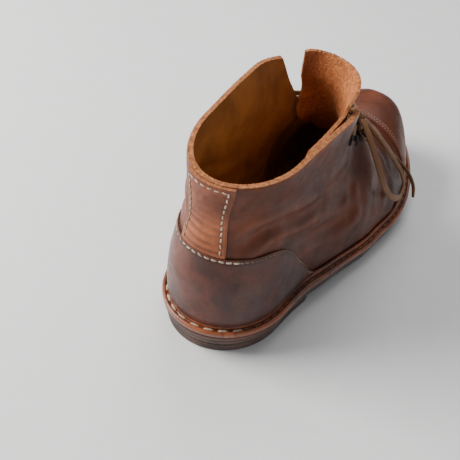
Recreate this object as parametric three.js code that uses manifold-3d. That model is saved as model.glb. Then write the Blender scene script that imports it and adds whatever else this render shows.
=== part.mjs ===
// A right-foot lace-up trekking boot in leather, standing on its sole.
// Millimetres, +Z up, +Y towards the toe, +X towards the outer (lateral) side.
// The origin is the middle of the heel's rest face on the floor.
//
// The upper is worked out as a surface over the side view: upright sections along the foot, level
// sections up the shaft, blended over the instep. Its wall, the overlays sewn on it, the welt, the
// soles, the insole and the tongue all take their shape from that one surface.
import * as THREE from 'three';
import { mergeVertices } from 'three/addons/utils/BufferGeometryUtils.js';
import Module from 'manifold-3d';

const wasm = await Module();
wasm.setup();

// Driving dimensions of the last.
const lastLength = 272;      // the upper at its feather line, heel to toe
const ballWidth = 97;        // the upper at the ball, at its feather line
const heelWidth = 70;        // the upper at the heel, at its feather line
const toeHeight = 45;        // toe box above the feather line
const instepHeight = 74;     // throat above the feather line
const shaftHeight = 112;     // back of the collar above the feather line
const collarRiseOuter = 7;   // how much higher the collar's outer front corner is than its back
const collarRiseInner = 20;  // and its inner front corner
const seatBack = 36;         // back of the upper to the middle of the heel's rest face
const heelRound = 40;        // length over which the heel's outline rounds
const toeRound = 84;         // length over which the toe's outline rounds
const toeNose = 26;          // length over which the toe box rounds down in front
const toeSpring = 13;        // lift of the toe off the floor
const throatGap = 9;         // half the opening between the facings at the throat
const collarGap = 31;        // half the opening between the facings at the collar
const throatFlare = 1.2;     // above 1 the facings stay apart further down the throat

// Thicknesses, clearances and small sizes.
const wall = 2.6;            // leather and lining of vamp and quarters
const quarterStep = 1.3;     // quarters lie this much proud of the vamp
const capStep = 1.2;         // toe cap lies this much proud of the vamp
const overlay = 1.5;         // counter and heel strip leather
const overlayGap = 0.45;     // under them
const gap = 0.3;             // between pieces that touch
const seam = 0.6;            // width of the slope at a step in the wall
const heelLift = 6.5;
const outsoleThickness = 5;
const midsoleThickness = 4;
const weltThickness = 4.4;
const weltReach = 8;         // welt past the upper at the feather line
const lipHeight = 6.5;       // the welt's raised lip above the midsole
const lipThickness = 2.6;
const insoleThickness = 3;
const tongueThickness = 2.4;
const tongueRise = 10;       // tongue above the collar's front corner
const tongueOverlap = 9;     // how far it reaches under the outer facing
const tongueInnerLap = 3;    // and under the inner one
const tongueTuck = 6;        // how far its foot reaches below the throat
const tongueClear = 2.6;     // between the tongue and the facings' lining
const tongueFlare = 8;       // how far its top leans forward
const tongueShow = 8;        // how far its inner edge stands back from the inner facing at the top
const tongueCorner = 10;     // how far the top's outer corner drops
const tongueInnerCorner = 3; // and its inner one
const wingRise = 30;         // height of the tongue's outer wing, behind the collar's corner
const wingDrop = 10;         // how far its top falls below the collar at its end
const heelLength = 76;       // heel lift, back to front
const stripTop = 18;         // half width of the heel strip at the collar
const stripWaist = 16;       // and at its narrowest
const stripFoot = 18;        // and at the counter
const eyeletInset = 11;      // from the facing's edge
const eyeletBore = 1.7;      // radius of the eyelet's hole
const eyeletFlange = 3.9;    // radius of the ring on the facing
const eyeletHeight = 0.9;    // height of the ring
const eyeletMetal = 0.5;     // thickness of the barrel
const hookBase = 4.4;        // radius of a hook's foot
const hookReach = 7;         // length of a hook's tongue
const hookHeight = 4.6;      // height of a hook off the facing
const hookWidth = 4;
const hookMetal = 1;
const laceWidth = 3.6;       // flat leather lace
const laceThickness = 1.8;
const bowThickness = 2.6;    // the bow's cords are drawn round

// Upright sections: shares along the foot, of heelWidth and ballWidth for the half widths, of
// toeHeight and instepHeight for the crown; full is the section's exponent, drift its centre's
// shift in shares of ballWidth.
const stations = [
  { along: 0.00, heel: 0.50, outer: 0.00, inner: 0.00, toe: 0.00, instep: 4.20, full: 2.2, drift: 0.000 },
  { along: 0.15, heel: 0.50, outer: 0.01, inner: 0.00, toe: 0.00, instep: 3.90, full: 2.2, drift: 0.000 },
  { along: 0.30, heel: 0.42, outer: 0.09, inner: 0.03, toe: 0.00, instep: 3.20, full: 2.2, drift: 0.000 },
  { along: 0.45, heel: 0.20, outer: 0.30, inner: 0.22, toe: 0.00, instep: 2.30, full: 1.80, drift: -0.010 },
  { along: 0.53, heel: 0.08, outer: 0.43, inner: 0.36, toe: 0.00, instep: 1.80, full: 1.75, drift: -0.025 },
  { along: 0.61, heel: 0.00, outer: 0.515, inner: 0.465, toe: 0.00, instep: 1.12, full: 1.80, drift: -0.045 },
  { along: 0.68, heel: 0.00, outer: 0.535, inner: 0.485, toe: 0.25, instep: 0.70, full: 2.0, drift: -0.062 },
  { along: 0.77, heel: 0.00, outer: 0.525, inner: 0.480, toe: 0.78, instep: 0.24, full: 2.2, drift: -0.083 },
  { along: 0.86, heel: 0.00, outer: 0.495, inner: 0.455, toe: 1.12, instep: 0.02, full: 2.4, drift: -0.102 },
  { along: 0.93, heel: 0.00, outer: 0.470, inner: 0.430, toe: 1.10, instep: 0.00, full: 2.5, drift: -0.116 },
  { along: 1.00, heel: 0.00, outer: 0.450, inner: 0.410, toe: 1.02, instep: 0.00, full: 2.6, drift: -0.130 },
];

// Level sections of the shaft: up in shares of shaftHeight, the rest in shares of heelWidth.
// back is the back line, round and nose the lengths over which the section rounds at both ends.
const levels = [
  { up: 0.00, back: 0.000, half: 0.500, round: 0.571, nose: 0.95 },
  { up: 0.14, back: -0.035, half: 0.525, round: 0.600, nose: 0.95 },
  { up: 0.32, back: -0.030, half: 0.510, round: 0.590, nose: 1.00 },
  { up: 0.52, back: 0.035, half: 0.470, round: 0.560, nose: 1.12 },
  { up: 0.76, back: 0.100, half: 0.450, round: 0.520, nose: 1.12 },
  { up: 1.00, back: 0.090, half: 0.487, round: 0.600, nose: 0.80 },
  { up: 1.20, back: 0.080, half: 0.525, round: 0.640, nose: 0.58 },
  { up: 1.50, back: 0.070, half: 0.540, round: 0.660, nose: 0.60 },
];

// The outsole's underside: share along the foot and share of heelLift or toeSpring off the floor.
const underside = [
  { along: -0.05, lift: 1.0, spring: 0 },
  { along: 0.26, lift: 1.0, spring: 0 },
  { along: 0.36, lift: 0.8, spring: 0 },
  { along: 0.48, lift: 0.2, spring: 0 },
  { along: 0.56, lift: 0.0, spring: 0 },
  { along: 0.74, lift: 0.0, spring: 0 },
  { along: 0.88, lift: 0.0, spring: 0.32 },
  { along: 1.05, lift: 0.0, spring: 1.15 },
];

// Places on the upper, in shares of lastLength along the foot or of the path round the rear.
const throatAlong = 0.69;    // base of the opening, on the ridge
const quarterFoot = 0.68;    // where the quarters' front edge meets the welt
const capAlong = 0.80;       // the toe cap's seam on the ridge
const roundShare = 0.30;     // share of the rear path that rounds the heel
const wingFront = 0.62;      // where the tongue's wing starts, behind the collar's corner
const wingBack = 0.42;       // where it ends
const cornerShare = 0.66;    // share of the rear path at the collar's front corner

// The counter's top edge: share of the way round to its front end, height in shares of shaftHeight.
const counterEdge = [
  { way: 0.00, up: 0.545 },
  { way: 0.34, up: 0.535 },
  { way: 0.47, up: 0.530 },
  { way: 0.57, up: 0.505 },
  { way: 0.67, up: 0.435 },
  { way: 0.81, up: 0.280 },
  { way: 0.93, up: 0.130 },
  { way: 1.00, up: 0.080 },
];
const counterEnd = 0.50;     // share of the rear path at the counter's front end

// Mesh fineness.
const wallSteps = 11;
const archSteps = 13;
const rearSteps = 22;
const outlineSteps = 31;
const cutSteps = 16;

const clamp = (x, lo, hi) => Math.min(hi, Math.max(lo, x));
const mix = (a, b, t) => a + (b - a) * t;
const smooth = (t) => {
  const c = clamp(t, 0, 1);
  return c * c * (3 - 2 * c);
};

// A quarter of a superellipse: 0 at 0, 1 from 1 on, with an upright start.
const roundEnd = (t, n = 2) => (t >= 1 ? 1 : t <= 0 ? 0 : (1 - (1 - t) ** n) ** (1 / n));

// Smooth value of one column of a table at x, without overshoot.
function column(rows, by, name, x) {
  const last = rows.length - 1;
  const c = clamp(x, rows[0][by], rows[last][by]);
  let i = 0;
  while (i < last - 1 && c > rows[i + 1][by]) i++;
  const slope = (k) => (rows[k + 1][name] - rows[k][name]) / (rows[k + 1][by] - rows[k][by]);
  const tangent = (k) => {
    if (k === 0) return slope(0);
    if (k === last) return slope(last - 1);
    const a = slope(k - 1);
    const b = slope(k);
    return a * b <= 0 ? 0 : (2 * a * b) / (a + b);
  };
  const h = rows[i + 1][by] - rows[i][by];
  const t = (c - rows[i][by]) / h;
  const t2 = t * t;
  const t3 = t2 * t;
  return (
    (2 * t3 - 3 * t2 + 1) * rows[i][name] +
    (t3 - 2 * t2 + t) * h * tangent(i) +
    (-2 * t3 + 3 * t2) * rows[i + 1][name] +
    (t3 - t2) * h * tangent(i + 1)
  );
}

const share = (y) => (y + seatBack) / lastLength;
const place = (along) => along * lastLength - seatBack;
const station = (name, y) => column(stations, 'along', name, share(y));
const level = (name, up) => column(levels, 'up', name, up / shaftHeight);

const soleUnder = (y) =>
  column(underside, 'along', 'lift', share(y)) * heelLift +
  column(underside, 'along', 'spring', share(y)) * toeSpring;
const soleStack = outsoleThickness + midsoleThickness + 2 * gap;
const heelGap = (y) => gap * smooth((column(underside, 'along', 'lift', share(y)) - 0.5) * 2);
const featherZ = (y) => soleUnder(y) + heelGap(y) + soleStack + gap;

// Half width of the foot's outline at its feather line, side 1 outer and -1 inner.
function planHalf(side, y) {
  const width = station('heel', y) * heelWidth + station(side > 0 ? 'outer' : 'inner', y) * ballWidth;
  return width * roundEnd((y + seatBack) / heelRound) * roundEnd((place(1) - y) / toeRound, 2.1);
}

const centreX = (y) => station('drift', y) * ballWidth;

// Height of the ridge above the feather line.
function crown(y) {
  const open = station('toe', y) * toeHeight + station('instep', y) * instepHeight;
  return open * roundEnd((place(1) - y) / toeNose, 2.2);
}

// The front of the shaft at a height above the feather line.
const fronts = new Map();
function frontAt(up) {
  if (!fronts.has(up)) fronts.set(up, findFront(up));
  return fronts.get(up);
}

function findFront(up) {
  let low = place(0.38);
  let high = place(1);
  if (crown(low) < up) return low;
  for (let i = 0; i < 26; i++) {
    const mid = (low + high) / 2;
    if (crown(mid) > up) low = mid;
    else high = mid;
  }
  return (low + high) / 2;
}

// Half width of the upper from its centre at a point of the side view, up above the feather line.
const wallSwell = 0.045;     // the upper swells by this share above the feather line
const swellHeight = 14;
function halfWidth(side, y, up) {
  const swell = 1 + wallSwell * (1 - (1 - clamp(up / swellHeight, 0, 1)) ** 2);
  const top = crown(y);
  const full = station('full', y);
  const t = clamp(up / Math.max(top, 0.01), 0, 1);
  const upright = planHalf(side, y) * swell * (1 - t ** full) ** (1 / full);
  const back = level('back', up) * heelWidth - seatBack;
  const ends =
    roundEnd((y - back) / (level('round', up) * heelWidth)) *
    roundEnd((frontAt(up) - y) / (level('nose', up) * heelWidth));
  const flat = level('half', up) * heelWidth * ends;
  const axis = 0.20 + 0.27 * (up / instepHeight);
  return mix(flat, upright, smooth((share(y) - axis) / 0.15));
}

function surface(side, y, up) {
  return new THREE.Vector3(centreX(y) + side * halfWidth(side, y, up), y, featherZ(y) + up);
}

// Height above the feather line at which the section at y is as wide as half.
function heightFor(side, y, half) {
  let low = crown(y) * 0.4;
  let high = crown(y);
  for (let i = 0; i < 26; i++) {
    const mid = (low + high) / 2;
    if (halfWidth(side, y, mid) > half) low = mid;
    else high = mid;
  }
  return (low + high) / 2;
}

// Place along the foot at which the level section at this height has narrowed in front to half.
function placeFor(side, up, half) {
  let low = place(0.3);
  let high = frontAt(up);
  for (let i = 0; i < 26; i++) {
    const mid = (low + high) / 2;
    if (halfWidth(side, mid, up) > half) low = mid;
    else high = mid;
  }
  return (low + high) / 2;
}

const throatY = place(throatAlong);
const throatUp = heightFor(1, throatY, throatGap);
const collarRise = (side) => (side > 0 ? collarRiseOuter : collarRiseInner);
const cornerUp = (side) => shaftHeight + collarRise(side);
const collarUp = (side, a) => shaftHeight + collarRise(side) * smooth(a / cornerShare) ** 1.2;

// The ribs lean over the instep: how far along a rib a share of its height is.
const lean = (u, arch) => mix(u, Math.asin(Math.min(u, 1) * Math.sin(1.45)) / 1.45, arch);

// The edge of a facing, from 0 at the collar's corner to 1 at the throat.
function facingEdge(side, r) {
  const up = mix(cornerUp(side), throatUp, r);
  const half = mix(collarGap, throatGap, r ** throatFlare);
  return { y: placeFor(side, up, half), up, half };
}

// The rear of the upper: s from -1 (inner throat) past 0 (back of the heel) to 1 (outer throat).
function rearTop(s) {
  const side = s < 0 ? -1 : 1;
  const a = Math.abs(s);
  if (a > cornerShare) return facingEdge(side, (a - cornerShare) / (1 - cornerShare));
  const up = collarUp(side, a);
  const start = (level('back', up) + level('round', up)) * heelWidth - seatBack;
  const t = clamp((a - roundShare) / (cornerShare - roundShare), 0, 1);
  return { y: mix(start, facingEdge(side, 0).y, t), up };
}

function rearPoint(s, up) {
  const side = s < 0 ? -1 : 1;
  const a = Math.abs(s);
  const back = level('back', up) * heelWidth - seatBack;
  const round = level('round', up) * heelWidth;
  if (a <= roundShare) {
    const turn = ((a / roundShare) * Math.PI) / 2;
    return surface(side, back + round * (1 - Math.cos(turn)), up);
  }
  const top = rearTop(s);
  const v = lean(up / top.up, smooth((a - cornerShare) / (1 - cornerShare)));
  const t = (a - roundShare) / (1 - roundShare);
  const low = mix(heelRound - seatBack, place(quarterFoot), t);
  const bow = back + round - mix(heelRound - seatBack, rearTop(roundShare * side).y, v);
  return surface(side, mix(low, top.y, v) + bow * (1 - t) ** 3, up);
}

function rearOffset(s, up, out) {
  const d = 0.004;
  const alongS = rearPoint(Math.min(s + d, 1), up).sub(rearPoint(Math.max(s - d, -1), up));
  const alongUp = rearPoint(s, up + 0.4).sub(rearPoint(s, up - 0.4));
  return rearPoint(s, up).addScaledVector(alongS.cross(alongUp).normalize(), out);
}

// The forepart: g from 0 at the toe to 1 at the throat, share from the feather line to near the ridge.
function archTop(side, g) {
  const y = mix(place(1), throatY, g);
  return { y, up: heightFor(side, y, throatGap * Math.min(1, g * 3)) };
}

function archPoint(side, g, up) {
  const top = archTop(side, g);
  const foot = mix(place(1), place(quarterFoot), g);
  return surface(side, mix(foot, top.y, lean(up / top.up, 1)), up);
}

// Heights of the rows of the wall's mesh: the first stays behind the welt's lip.
function rowHeights(top, arch) {
  const first = Math.min(lipHeight + 2 * gap, top * 0.7);
  const second = Math.min(first + 2, top * 0.8);
  const rows = [0, first, second];
  const rest = wallSteps - rows.length + 1;
  for (let j = 1; j <= rest; j++) {
    const t = j / rest;
    rows.push(mix(second, top, mix(t, Math.sin(t * 1.45) / Math.sin(1.45), arch)));
  }
  return rows;
}

// A point of the instep, in front of the shaft or in the throat: x across, up above the feather line.
function instepPoint(x, up) {
  const side = x < 0 ? -1 : 1;
  return surface(side, placeFor(side, up, Math.abs(x)), up);
}

function instepFrame(x, up) {
  const d = 0.5;
  const across = instepPoint(x + d, up).sub(instepPoint(x - d, up)).normalize();
  const rise = instepPoint(x, up + d).sub(instepPoint(x, up - d)).normalize();
  const normal = rise.cross(across).normalize();
  return { origin: instepPoint(x, up), across, rise: across.clone().cross(normal), normal };
}

function closedGeometry(positions, index) {
  const geometry = new THREE.BufferGeometry();
  geometry.setAttribute('position', new THREE.Float32BufferAttribute(positions, 3));
  geometry.setIndex(index);
  return geometry;
}

// A closed solid from an outer and an inner skin that share one set of faces.
function thicken(outer, inner, faces) {
  const n = outer.length;
  const index = [];
  const edges = new Map();
  for (const [a, b, c] of faces) {
    index.push(a, b, c, a + n, c + n, b + n);
    for (const [p, q] of [[a, b], [b, c], [c, a]]) {
      if (edges.has(`${q},${p}`)) edges.delete(`${q},${p}`);
      else edges.set(`${p},${q}`, [p, q]);
    }
  }
  for (const [p, q] of edges.values()) index.push(q, p, p + n, q, p + n, q + n);
  return closedGeometry([...outer, ...inner].flatMap((p) => [p.x, p.y, p.z]), index);
}

function vertexNormals(points, faces) {
  const normals = points.map(() => new THREE.Vector3());
  for (const [a, b, c] of faces) {
    const n = points[b].clone().sub(points[a]).cross(points[c].clone().sub(points[a]));
    for (const k of [a, b, c]) normals[k].add(n);
  }
  return normals.map((n) => n.normalize());
}

// Two triangles for a square of the grid, unless two of its corners are one point.
function quad(faces, a, b, c, d) {
  if (a !== b && b !== c && a !== c) faces.push([a, b, c]);
  if (a !== c && c !== d && a !== d) faces.push([a, c, d]);
}

// A sheet of even thickness from a grid of rows, each a list of pairs of outer and inner points.
function sheet(rows) {
  const outer = [];
  const inner = [];
  const faces = [];
  const width = rows[0].length;
  for (const row of rows) {
    for (const pair of row) {
      outer.push(pair[0]);
      inner.push(pair[1]);
    }
  }
  for (let i = 0; i + 1 < rows.length; i++) {
    for (let j = 0; j + 1 < width; j++) {
      const k = i * width + j;
      quad(faces, k, k + 1, k + width + 1, k + width);
    }
  }
  return thicken(outer, inner, faces);
}

// The quarters' and toe cap's step shows above the welt's lip only.
const stepFade = (up) => smooth((up - lipHeight - 2 * gap) / 1.8);

function upperGeometry() {
  const points = [];
  const steps = [];
  const faces = [];
  const add = (p, step) => {
    points.push(p);
    steps.push(step * stepFade(p.z - featherZ(p.y)));
    return points.length - 1;
  };
  const seamShare = seam / (place(1) - throatY);
  const capShare = (place(1) - place(capAlong)) / (place(1) - throatY);
  const arches = [];
  for (let k = 1; k <= archSteps; k++) arches.push(1 - Math.cos((k / archSteps) * (Math.PI / 2)));
  const far = (g) => Math.abs(g - capShare);
  const cut = arches.indexOf(arches.reduce((best, g) => (far(g) < far(best) ? g : best)));
  arches.splice(cut, 1, capShare - seamShare / 2, capShare + seamShare / 2);
  const tip = add(surface(1, place(1), 0), 0);
  const nose = add(surface(1, frontAt(lipHeight + 2 * gap), lipHeight + 2 * gap), 0);
  let row = null;
  for (const [k, g] of arches.entries()) {
    const step = k <= cut ? capStep : 0;
    const before = row;
    const half = (side) => {
      const heights = rowHeights(archTop(side, g).up, 1);
      return heights.map((up) => add(archPoint(side, g, up), step));
    };
    const ridge = mix(place(1), throatY, g);
    const outer = half(1);
    const top = add(new THREE.Vector3(centreX(ridge), ridge, featherZ(ridge) + crown(ridge)), step);
    row = [...outer, top, ...half(-1).reverse()];
    if (!before) faces.push([nose, row[0], tip], [nose, tip, row[row.length - 1]]);
    for (let j = 0; j + 1 < row.length; j++) {
      if (before) quad(faces, before[j], before[j + 1], row[j + 1], row[j]);
      else faces.push([nose, row[j + 1], row[j]]);
    }
  }
  const ends = { outer: row.slice(0, wallSteps + 1), inner: row.slice(wallSteps + 2).reverse() };
  let last = ends.inner;
  for (let q = -rearSteps; q <= rearSteps; q++) {
    const s = clamp(q / rearSteps, seam / 200 - 1, 1 - seam / 200);
    const top = rearTop(s).up;
    const arch = smooth((Math.abs(s) - cornerShare) / (1 - cornerShare));
    const next = rowHeights(top, arch).map((up) => add(rearPoint(s, up), quarterStep));
    for (let j = 0; j < wallSteps; j++) quad(faces, last[j], next[j], next[j + 1], last[j + 1]);
    last = next;
  }
  for (let j = 0; j < wallSteps; j++) quad(faces, last[j], ends.outer[j], ends.outer[j + 1], last[j + 1]);
  const normals = vertexNormals(points, faces);
  const outer = points.map((p, i) => p.clone().addScaledVector(normals[i], steps[i]));
  const inner = points.map((p, i) => p.clone().addScaledVector(normals[i], -wall));
  return thicken(outer, inner, faces);
}

// Counter: round the heel from just above the welt's lip up to its own edge.
function counterGeometry() {
  const rows = [];
  const steps = 22;
  const heights = 5;
  const foot = lipHeight + 2 * gap;
  for (let k = -steps; k <= steps; k++) {
    const way = Math.sin((k / steps) * (Math.PI / 2) * 0.995);
    const s = way * counterEnd;
    const top = column(counterEdge, 'way', 'up', Math.abs(way)) * shaftHeight;
    const row = [];
    for (let j = heights; j >= 0; j--) {
      const up = mix(foot, top, j / heights);
      row.push([
        rearOffset(s, up, quarterStep + overlayGap + overlay),
        rearOffset(s, up, quarterStep + overlayGap),
      ]);
    }
    rows.push(row);
  }
  return sheet(rows);
}

// Half width of the heel strip, in millimetres along the leather; t is 0 at its foot and 1 at its top.
function stripHalf(t) {
  if (t < 0.5) return mix(stripFoot, stripWaist, smooth(t * 2));
  return mix(stripWaist, stripTop, smooth(t * 2 - 1));
}

// Heel strip: from the counter's edge up to the collar.
function heelStripGeometry() {
  const rows = [];
  const halves = level('half', shaftHeight) + level('round', shaftHeight);
  const quarterTurn = 0.25 * Math.PI * heelWidth * halves;
  const steps = 6;
  const heights = 7;
  for (let j = 0; j <= heights; j++) {
    const t = j / heights;
    const row = [];
    for (let k = -steps; k <= steps; k++) {
      const s = (k / steps) * (stripHalf(t) / quarterTurn) * roundShare;
      const low = column(counterEdge, 'way', 'up', Math.abs(s) / counterEnd) * shaftHeight + 2 * gap;
      const up = mix(low, collarUp(s, Math.abs(s)) - 0.5, t);
      row.push([
        rearOffset(s, up, quarterStep + overlayGap + overlay),
        rearOffset(s, up, quarterStep + overlayGap),
      ]);
    }
    rows.push(row);
  }
  return sheet(rows);
}

// The tongue: the part of the instep that the throat leaves open and a margin under each facing.
// On the inner side it is narrower at the top, where it shows its edge.
function tongueGeometry() {
  const rows = [];
  const across = 7;
  const rise = 13;
  const low = throatUp - tongueTuck;
  const top = cornerUp(-1) + tongueRise;
  for (let j = 0; j <= rise; j++) {
    const up = mix(low, top, j / rise);
    const r = clamp((cornerUp(1) - up) / (cornerUp(1) - throatUp), 0, 1);
    const open = mix(collarGap, throatGap, r ** throatFlare);
    const widest = level('half', up) * heelWidth;
    const over = clamp((up - cornerUp(1)) / (top - cornerUp(1)), 0, 1);
    const flare = new THREE.Vector3(0, tongueFlare * over ** 1.6, 0);
    const row = [];
    for (let k = across; k >= -across; k--) {
      const innerMargin = mix(-tongueShow, tongueInnerLap, smooth(r / 0.6));
      const margin = k > 0 ? tongueOverlap : innerMargin;
      const half = Math.min(open + margin, widest * 0.97);
      const x = (half * Math.sin((k / across) * 1.4)) / Math.sin(1.4);
      const drop = k > 0 ? tongueCorner : tongueInnerCorner;
      const corner = drop * over * Math.abs(k / across) ** 3;
      const { origin, normal } = instepFrame(x, up - corner);
      row.push([
        origin.clone().addScaledVector(normal, -wall - tongueClear).add(flare),
        origin.clone().addScaledVector(normal, -wall - tongueClear - tongueThickness).add(flare),
      ]);
    }
    rows.push(row);
  }
  return fromManifold(toManifold(sheet(rows)).add(toManifold(tongueWing())));
}

// The tongue's outer wing: it runs on behind the collar's corner, along the inside of the quarter.
function tongueWing() {
  const rows = [];
  const rise = 5;
  const along = 8;
  for (let j = 0; j <= rise; j++) {
    const row = [];
    for (let k = along; k >= 0; k--) {
      const s = mix(wingFront, wingBack, k / along);
      const top = collarUp(s, s) - wingDrop * smooth(k / along);
      const up = top - wingRise * (1 - j / rise);
      const inwards = wall + tongueClear + (tongueThickness / 2) * (k / along);
      row.push([rearOffset(s, up, -inwards), rearOffset(s, up, -inwards - tongueThickness)]);
    }
    rows.push(row);
  }
  return sheet(rows);
}

// The upper's outline at a height above the feather line, from the back round the outer side.
function outlinePoints(up, front) {
  const back = level('back', up) * heelWidth - seatBack;
  const reach = frontAt(up);
  const whole = front >= reach;
  const n = whole ? outlineSteps : cutSteps;
  const points = [];
  const put = (side, t) => {
    const wholeTurn = mix(back, reach, (1 - Math.cos(Math.PI * t)) / 2);
    const y = whole ? wholeTurn : mix(back, front, 1 - Math.cos((Math.PI / 2) * t));
    points.push(new THREE.Vector2(centreX(y) + side * halfWidth(side, y, up), y));
  };
  for (let i = 0; i <= n; i++) put(1, i / n);
  for (let i = whole ? n - 1 : n; i > 0; i--) put(-1, i / n);
  return { points, corners: whole ? [] : [n, n + 1] };
}

// The outline grown outwards; where it is cut at a front, its two corners move sideways.
function outline(up, out, front = frontAt(up)) {
  const { points, corners } = outlinePoints(up, front);
  return points.map((p, i) => {
    if (i === corners[0]) return new THREE.Vector2(p.x + out, p.y);
    if (i === corners[1]) return new THREE.Vector2(p.x - out, p.y);
    const next = points[(i + 1) % points.length];
    const before = points[(i + points.length - 1) % points.length];
    const along = next.clone().sub(before).normalize();
    return new THREE.Vector2(p.x + along.y * out, p.y - along.x * out);
  });
}

function ring(up, out, height, front) {
  return outline(up, out, front).map((p) => new THREE.Vector3(p.x, p.y, height(p.y)));
}

// A closed slab through rings from its underside to its top; its faces are bridged side to side.
function slab(rings) {
  const n = rings[0].length;
  const index = [];
  for (let k = 0; k + 1 < rings.length; k++) {
    for (let i = 0; i < n; i++) {
      const j = (i + 1) % n;
      const a = k * n;
      index.push(a + i, a + j, a + n + j, a + i, a + n + j, a + n + i);
    }
  }
  const top = (rings.length - 1) * n;
  const face = (a, b, c) => index.push(a, c, b, top + a, top + b, top + c);
  let a = 1;
  let b = n - 1;
  face(0, a, b);
  while (b - a > 2) {
    face(a, a + 1, b - 1);
    face(a, b - 1, b);
    a++;
    b--;
  }
  if (b - a === 2) face(a, a + 1, b);
  return closedGeometry(rings.flat().flatMap((p) => [p.x, p.y, p.z]), index);
}

// A closed ring round the foot through rings that follow a closed section.
function hoop(rings) {
  const n = rings[0].length;
  const index = [];
  for (let k = 0; k < rings.length; k++) {
    const a = k * n;
    const b = ((k + 1) % rings.length) * n;
    for (let i = 0; i < n; i++) {
      const j = (i + 1) % n;
      index.push(a + i, a + j, b + j, a + i, b + j, b + i);
    }
  }
  return closedGeometry(rings.flat().flatMap((p) => [p.x, p.y, p.z]), index);
}

// The welt's section: a flat rim, a groove for its stitches and a rounded lip against the upper.
function weltGeometry() {
  const groove = weltThickness - 1.2;
  const section = [
    { out: gap, up: 0 },
    { out: weltReach - 0.6, up: 0 },
    { out: weltReach, up: 0.25 * weltThickness },
    { out: weltReach, up: 0.75 * weltThickness },
    { out: weltReach - 0.9, up: weltThickness },
    { out: weltReach - 2.6, up: weltThickness },
    { out: weltReach - 3.4, up: groove },
    { out: gap + lipThickness + 0.2, up: groove },
    { out: gap + lipThickness, up: lipHeight - 1.2 },
    { out: gap + 0.62 * lipThickness, up: lipHeight },
    { out: gap + 0.3, up: lipHeight - 0.3 },
    { out: gap, up: lipHeight * 0.5 },
  ];
  return hoop(section.map(({ out, up }) => ring(up, out, (y) => featherZ(y) + up)));
}

function midsoleGeometry() {
  const top = (y) => featherZ(y) - gap;
  const bottom = (y) => top(y) - midsoleThickness;
  return slab([
    ring(0, weltReach - 1.2, bottom),
    ring(0, weltReach - 0.4, (y) => bottom(y) + 1),
    ring(0, weltReach - 0.4, (y) => top(y) - 1),
    ring(0, weltReach - 1, top),
  ]);
}

function outsoleGeometry() {
  const bottom = (y) => soleUnder(y) + heelGap(y);
  const top = (y) => featherZ(y) - 2 * gap - midsoleThickness;
  return slab([
    ring(0, weltReach - 4.2, bottom),
    ring(0, weltReach - 3, (y) => bottom(y) + 1.2),
    ring(0, weltReach - 1.6, top),
  ]);
}

function heelLiftGeometry() {
  const front = heelLength - seatBack;
  return slab([
    ring(0, weltReach - 4.4, () => 0, front - 1.5),
    ring(0, weltReach - 3.8, () => 1, front - 0.6),
    ring(0, weltReach - 3, (y) => soleUnder(y), front),
  ]);
}

function insoleGeometry() {
  const inset = wall + 2 * gap;
  return slab([
    ring(0, -inset, (y) => featherZ(y)),
    ring(insoleThickness, -inset, (y) => featherZ(y) + insoleThickness),
  ]);
}

const toManifold = (geometry) => {
  const bare = geometry.clone();
  bare.deleteAttribute('normal');
  bare.deleteAttribute('uv');
  const merged = mergeVertices(bare, 1e-4);
  return new wasm.Manifold(
    new wasm.Mesh({
      numProp: 3,
      vertProperties: new Float32Array(merged.attributes.position.array),
      triVerts: new Uint32Array(merged.index.array),
    }),
  );
};

function fromManifold(solid) {
  const mesh = solid.getMesh();
  return closedGeometry(Array.from(mesh.vertProperties), Array.from(mesh.triVerts));
}

// Places on a facing, in shares of its height from the throat up.
const eyeletRows = [0.05];
const hookRows = [0.2, 0.34, 0.52];

// A place on a facing: back from its edge along the surface, at the height of the edge.
function facingFrame(side, rise) {
  const { y, up } = facingEdge(side, 1 - rise);
  const step = 0.5;
  let run = 0;
  let back = y;
  while (run < eyeletInset) {
    run += surface(side, back, up).distanceTo(surface(side, back - step, up));
    back -= step;
  }
  const origin = surface(side, back, up);
  const outward = surface(side, back - step, up).sub(surface(side, back + step, up));
  const upward = surface(side, back, up + step).sub(surface(side, back, up - step));
  outward.normalize();
  const normal = upward.normalize().cross(outward).multiplyScalar(side).normalize();
  return { origin, outward, normal, half: Math.abs(origin.x - centreX(back)), up };
}

// Stands a geometry, made with its foot at z = 0 and x away from the throat, on a facing.
function frameMatrix(frame, lift) {
  const along = frame.normal.clone().cross(frame.outward);
  const matrix = new THREE.Matrix4().makeBasis(frame.outward, along, frame.normal);
  return matrix.setPosition(frame.origin.clone().addScaledVector(frame.normal, lift));
}

const standOn = (geometry, frame, lift) => geometry.applyMatrix4(frameMatrix(frame, lift));

// How high the upper stands above a frame's origin under a round foot of this radius.
const upperSolid = toManifold(upperGeometry());
const probeLength = 3 * wall;
function seatUnder(frame, radius) {
  const probe = new THREE.CylinderGeometry(radius, radius, probeLength, 16).rotateX(Math.PI / 2);
  const under = fromManifold(upperSolid.intersect(toManifold(standOn(probe, frame, 0))));
  under.applyMatrix4(frameMatrix(frame, 0).invert());
  under.computeBoundingBox();
  return under.boundingBox.max.z;
}

// Eyelet: a ring on the facing with a barrel through it.
function eyeletGeometry() {
  const barrel = eyeletBore + eyeletMetal;
  const depth = quarterStep + wall + gap;
  const profile = [
    [eyeletBore, -depth],
    [barrel, -depth],
    [barrel, 0],
    [eyeletFlange, 0],
    [eyeletFlange, eyeletHeight / 2],
    [eyeletFlange - eyeletHeight, eyeletHeight],
    [eyeletBore, eyeletHeight],
    [eyeletBore, -depth],
  ];
  const points = profile.map(([r, z]) => new THREE.Vector2(r, z));
  return new THREE.LatheGeometry(points, 12).rotateX(Math.PI / 2);
}

function eyeletHole() {
  const radius = eyeletBore + eyeletMetal + gap;
  const length = 4 * (wall + quarterStep);
  return new THREE.CylinderGeometry(radius, radius, length, 14).rotateX(Math.PI / 2);
}

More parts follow.
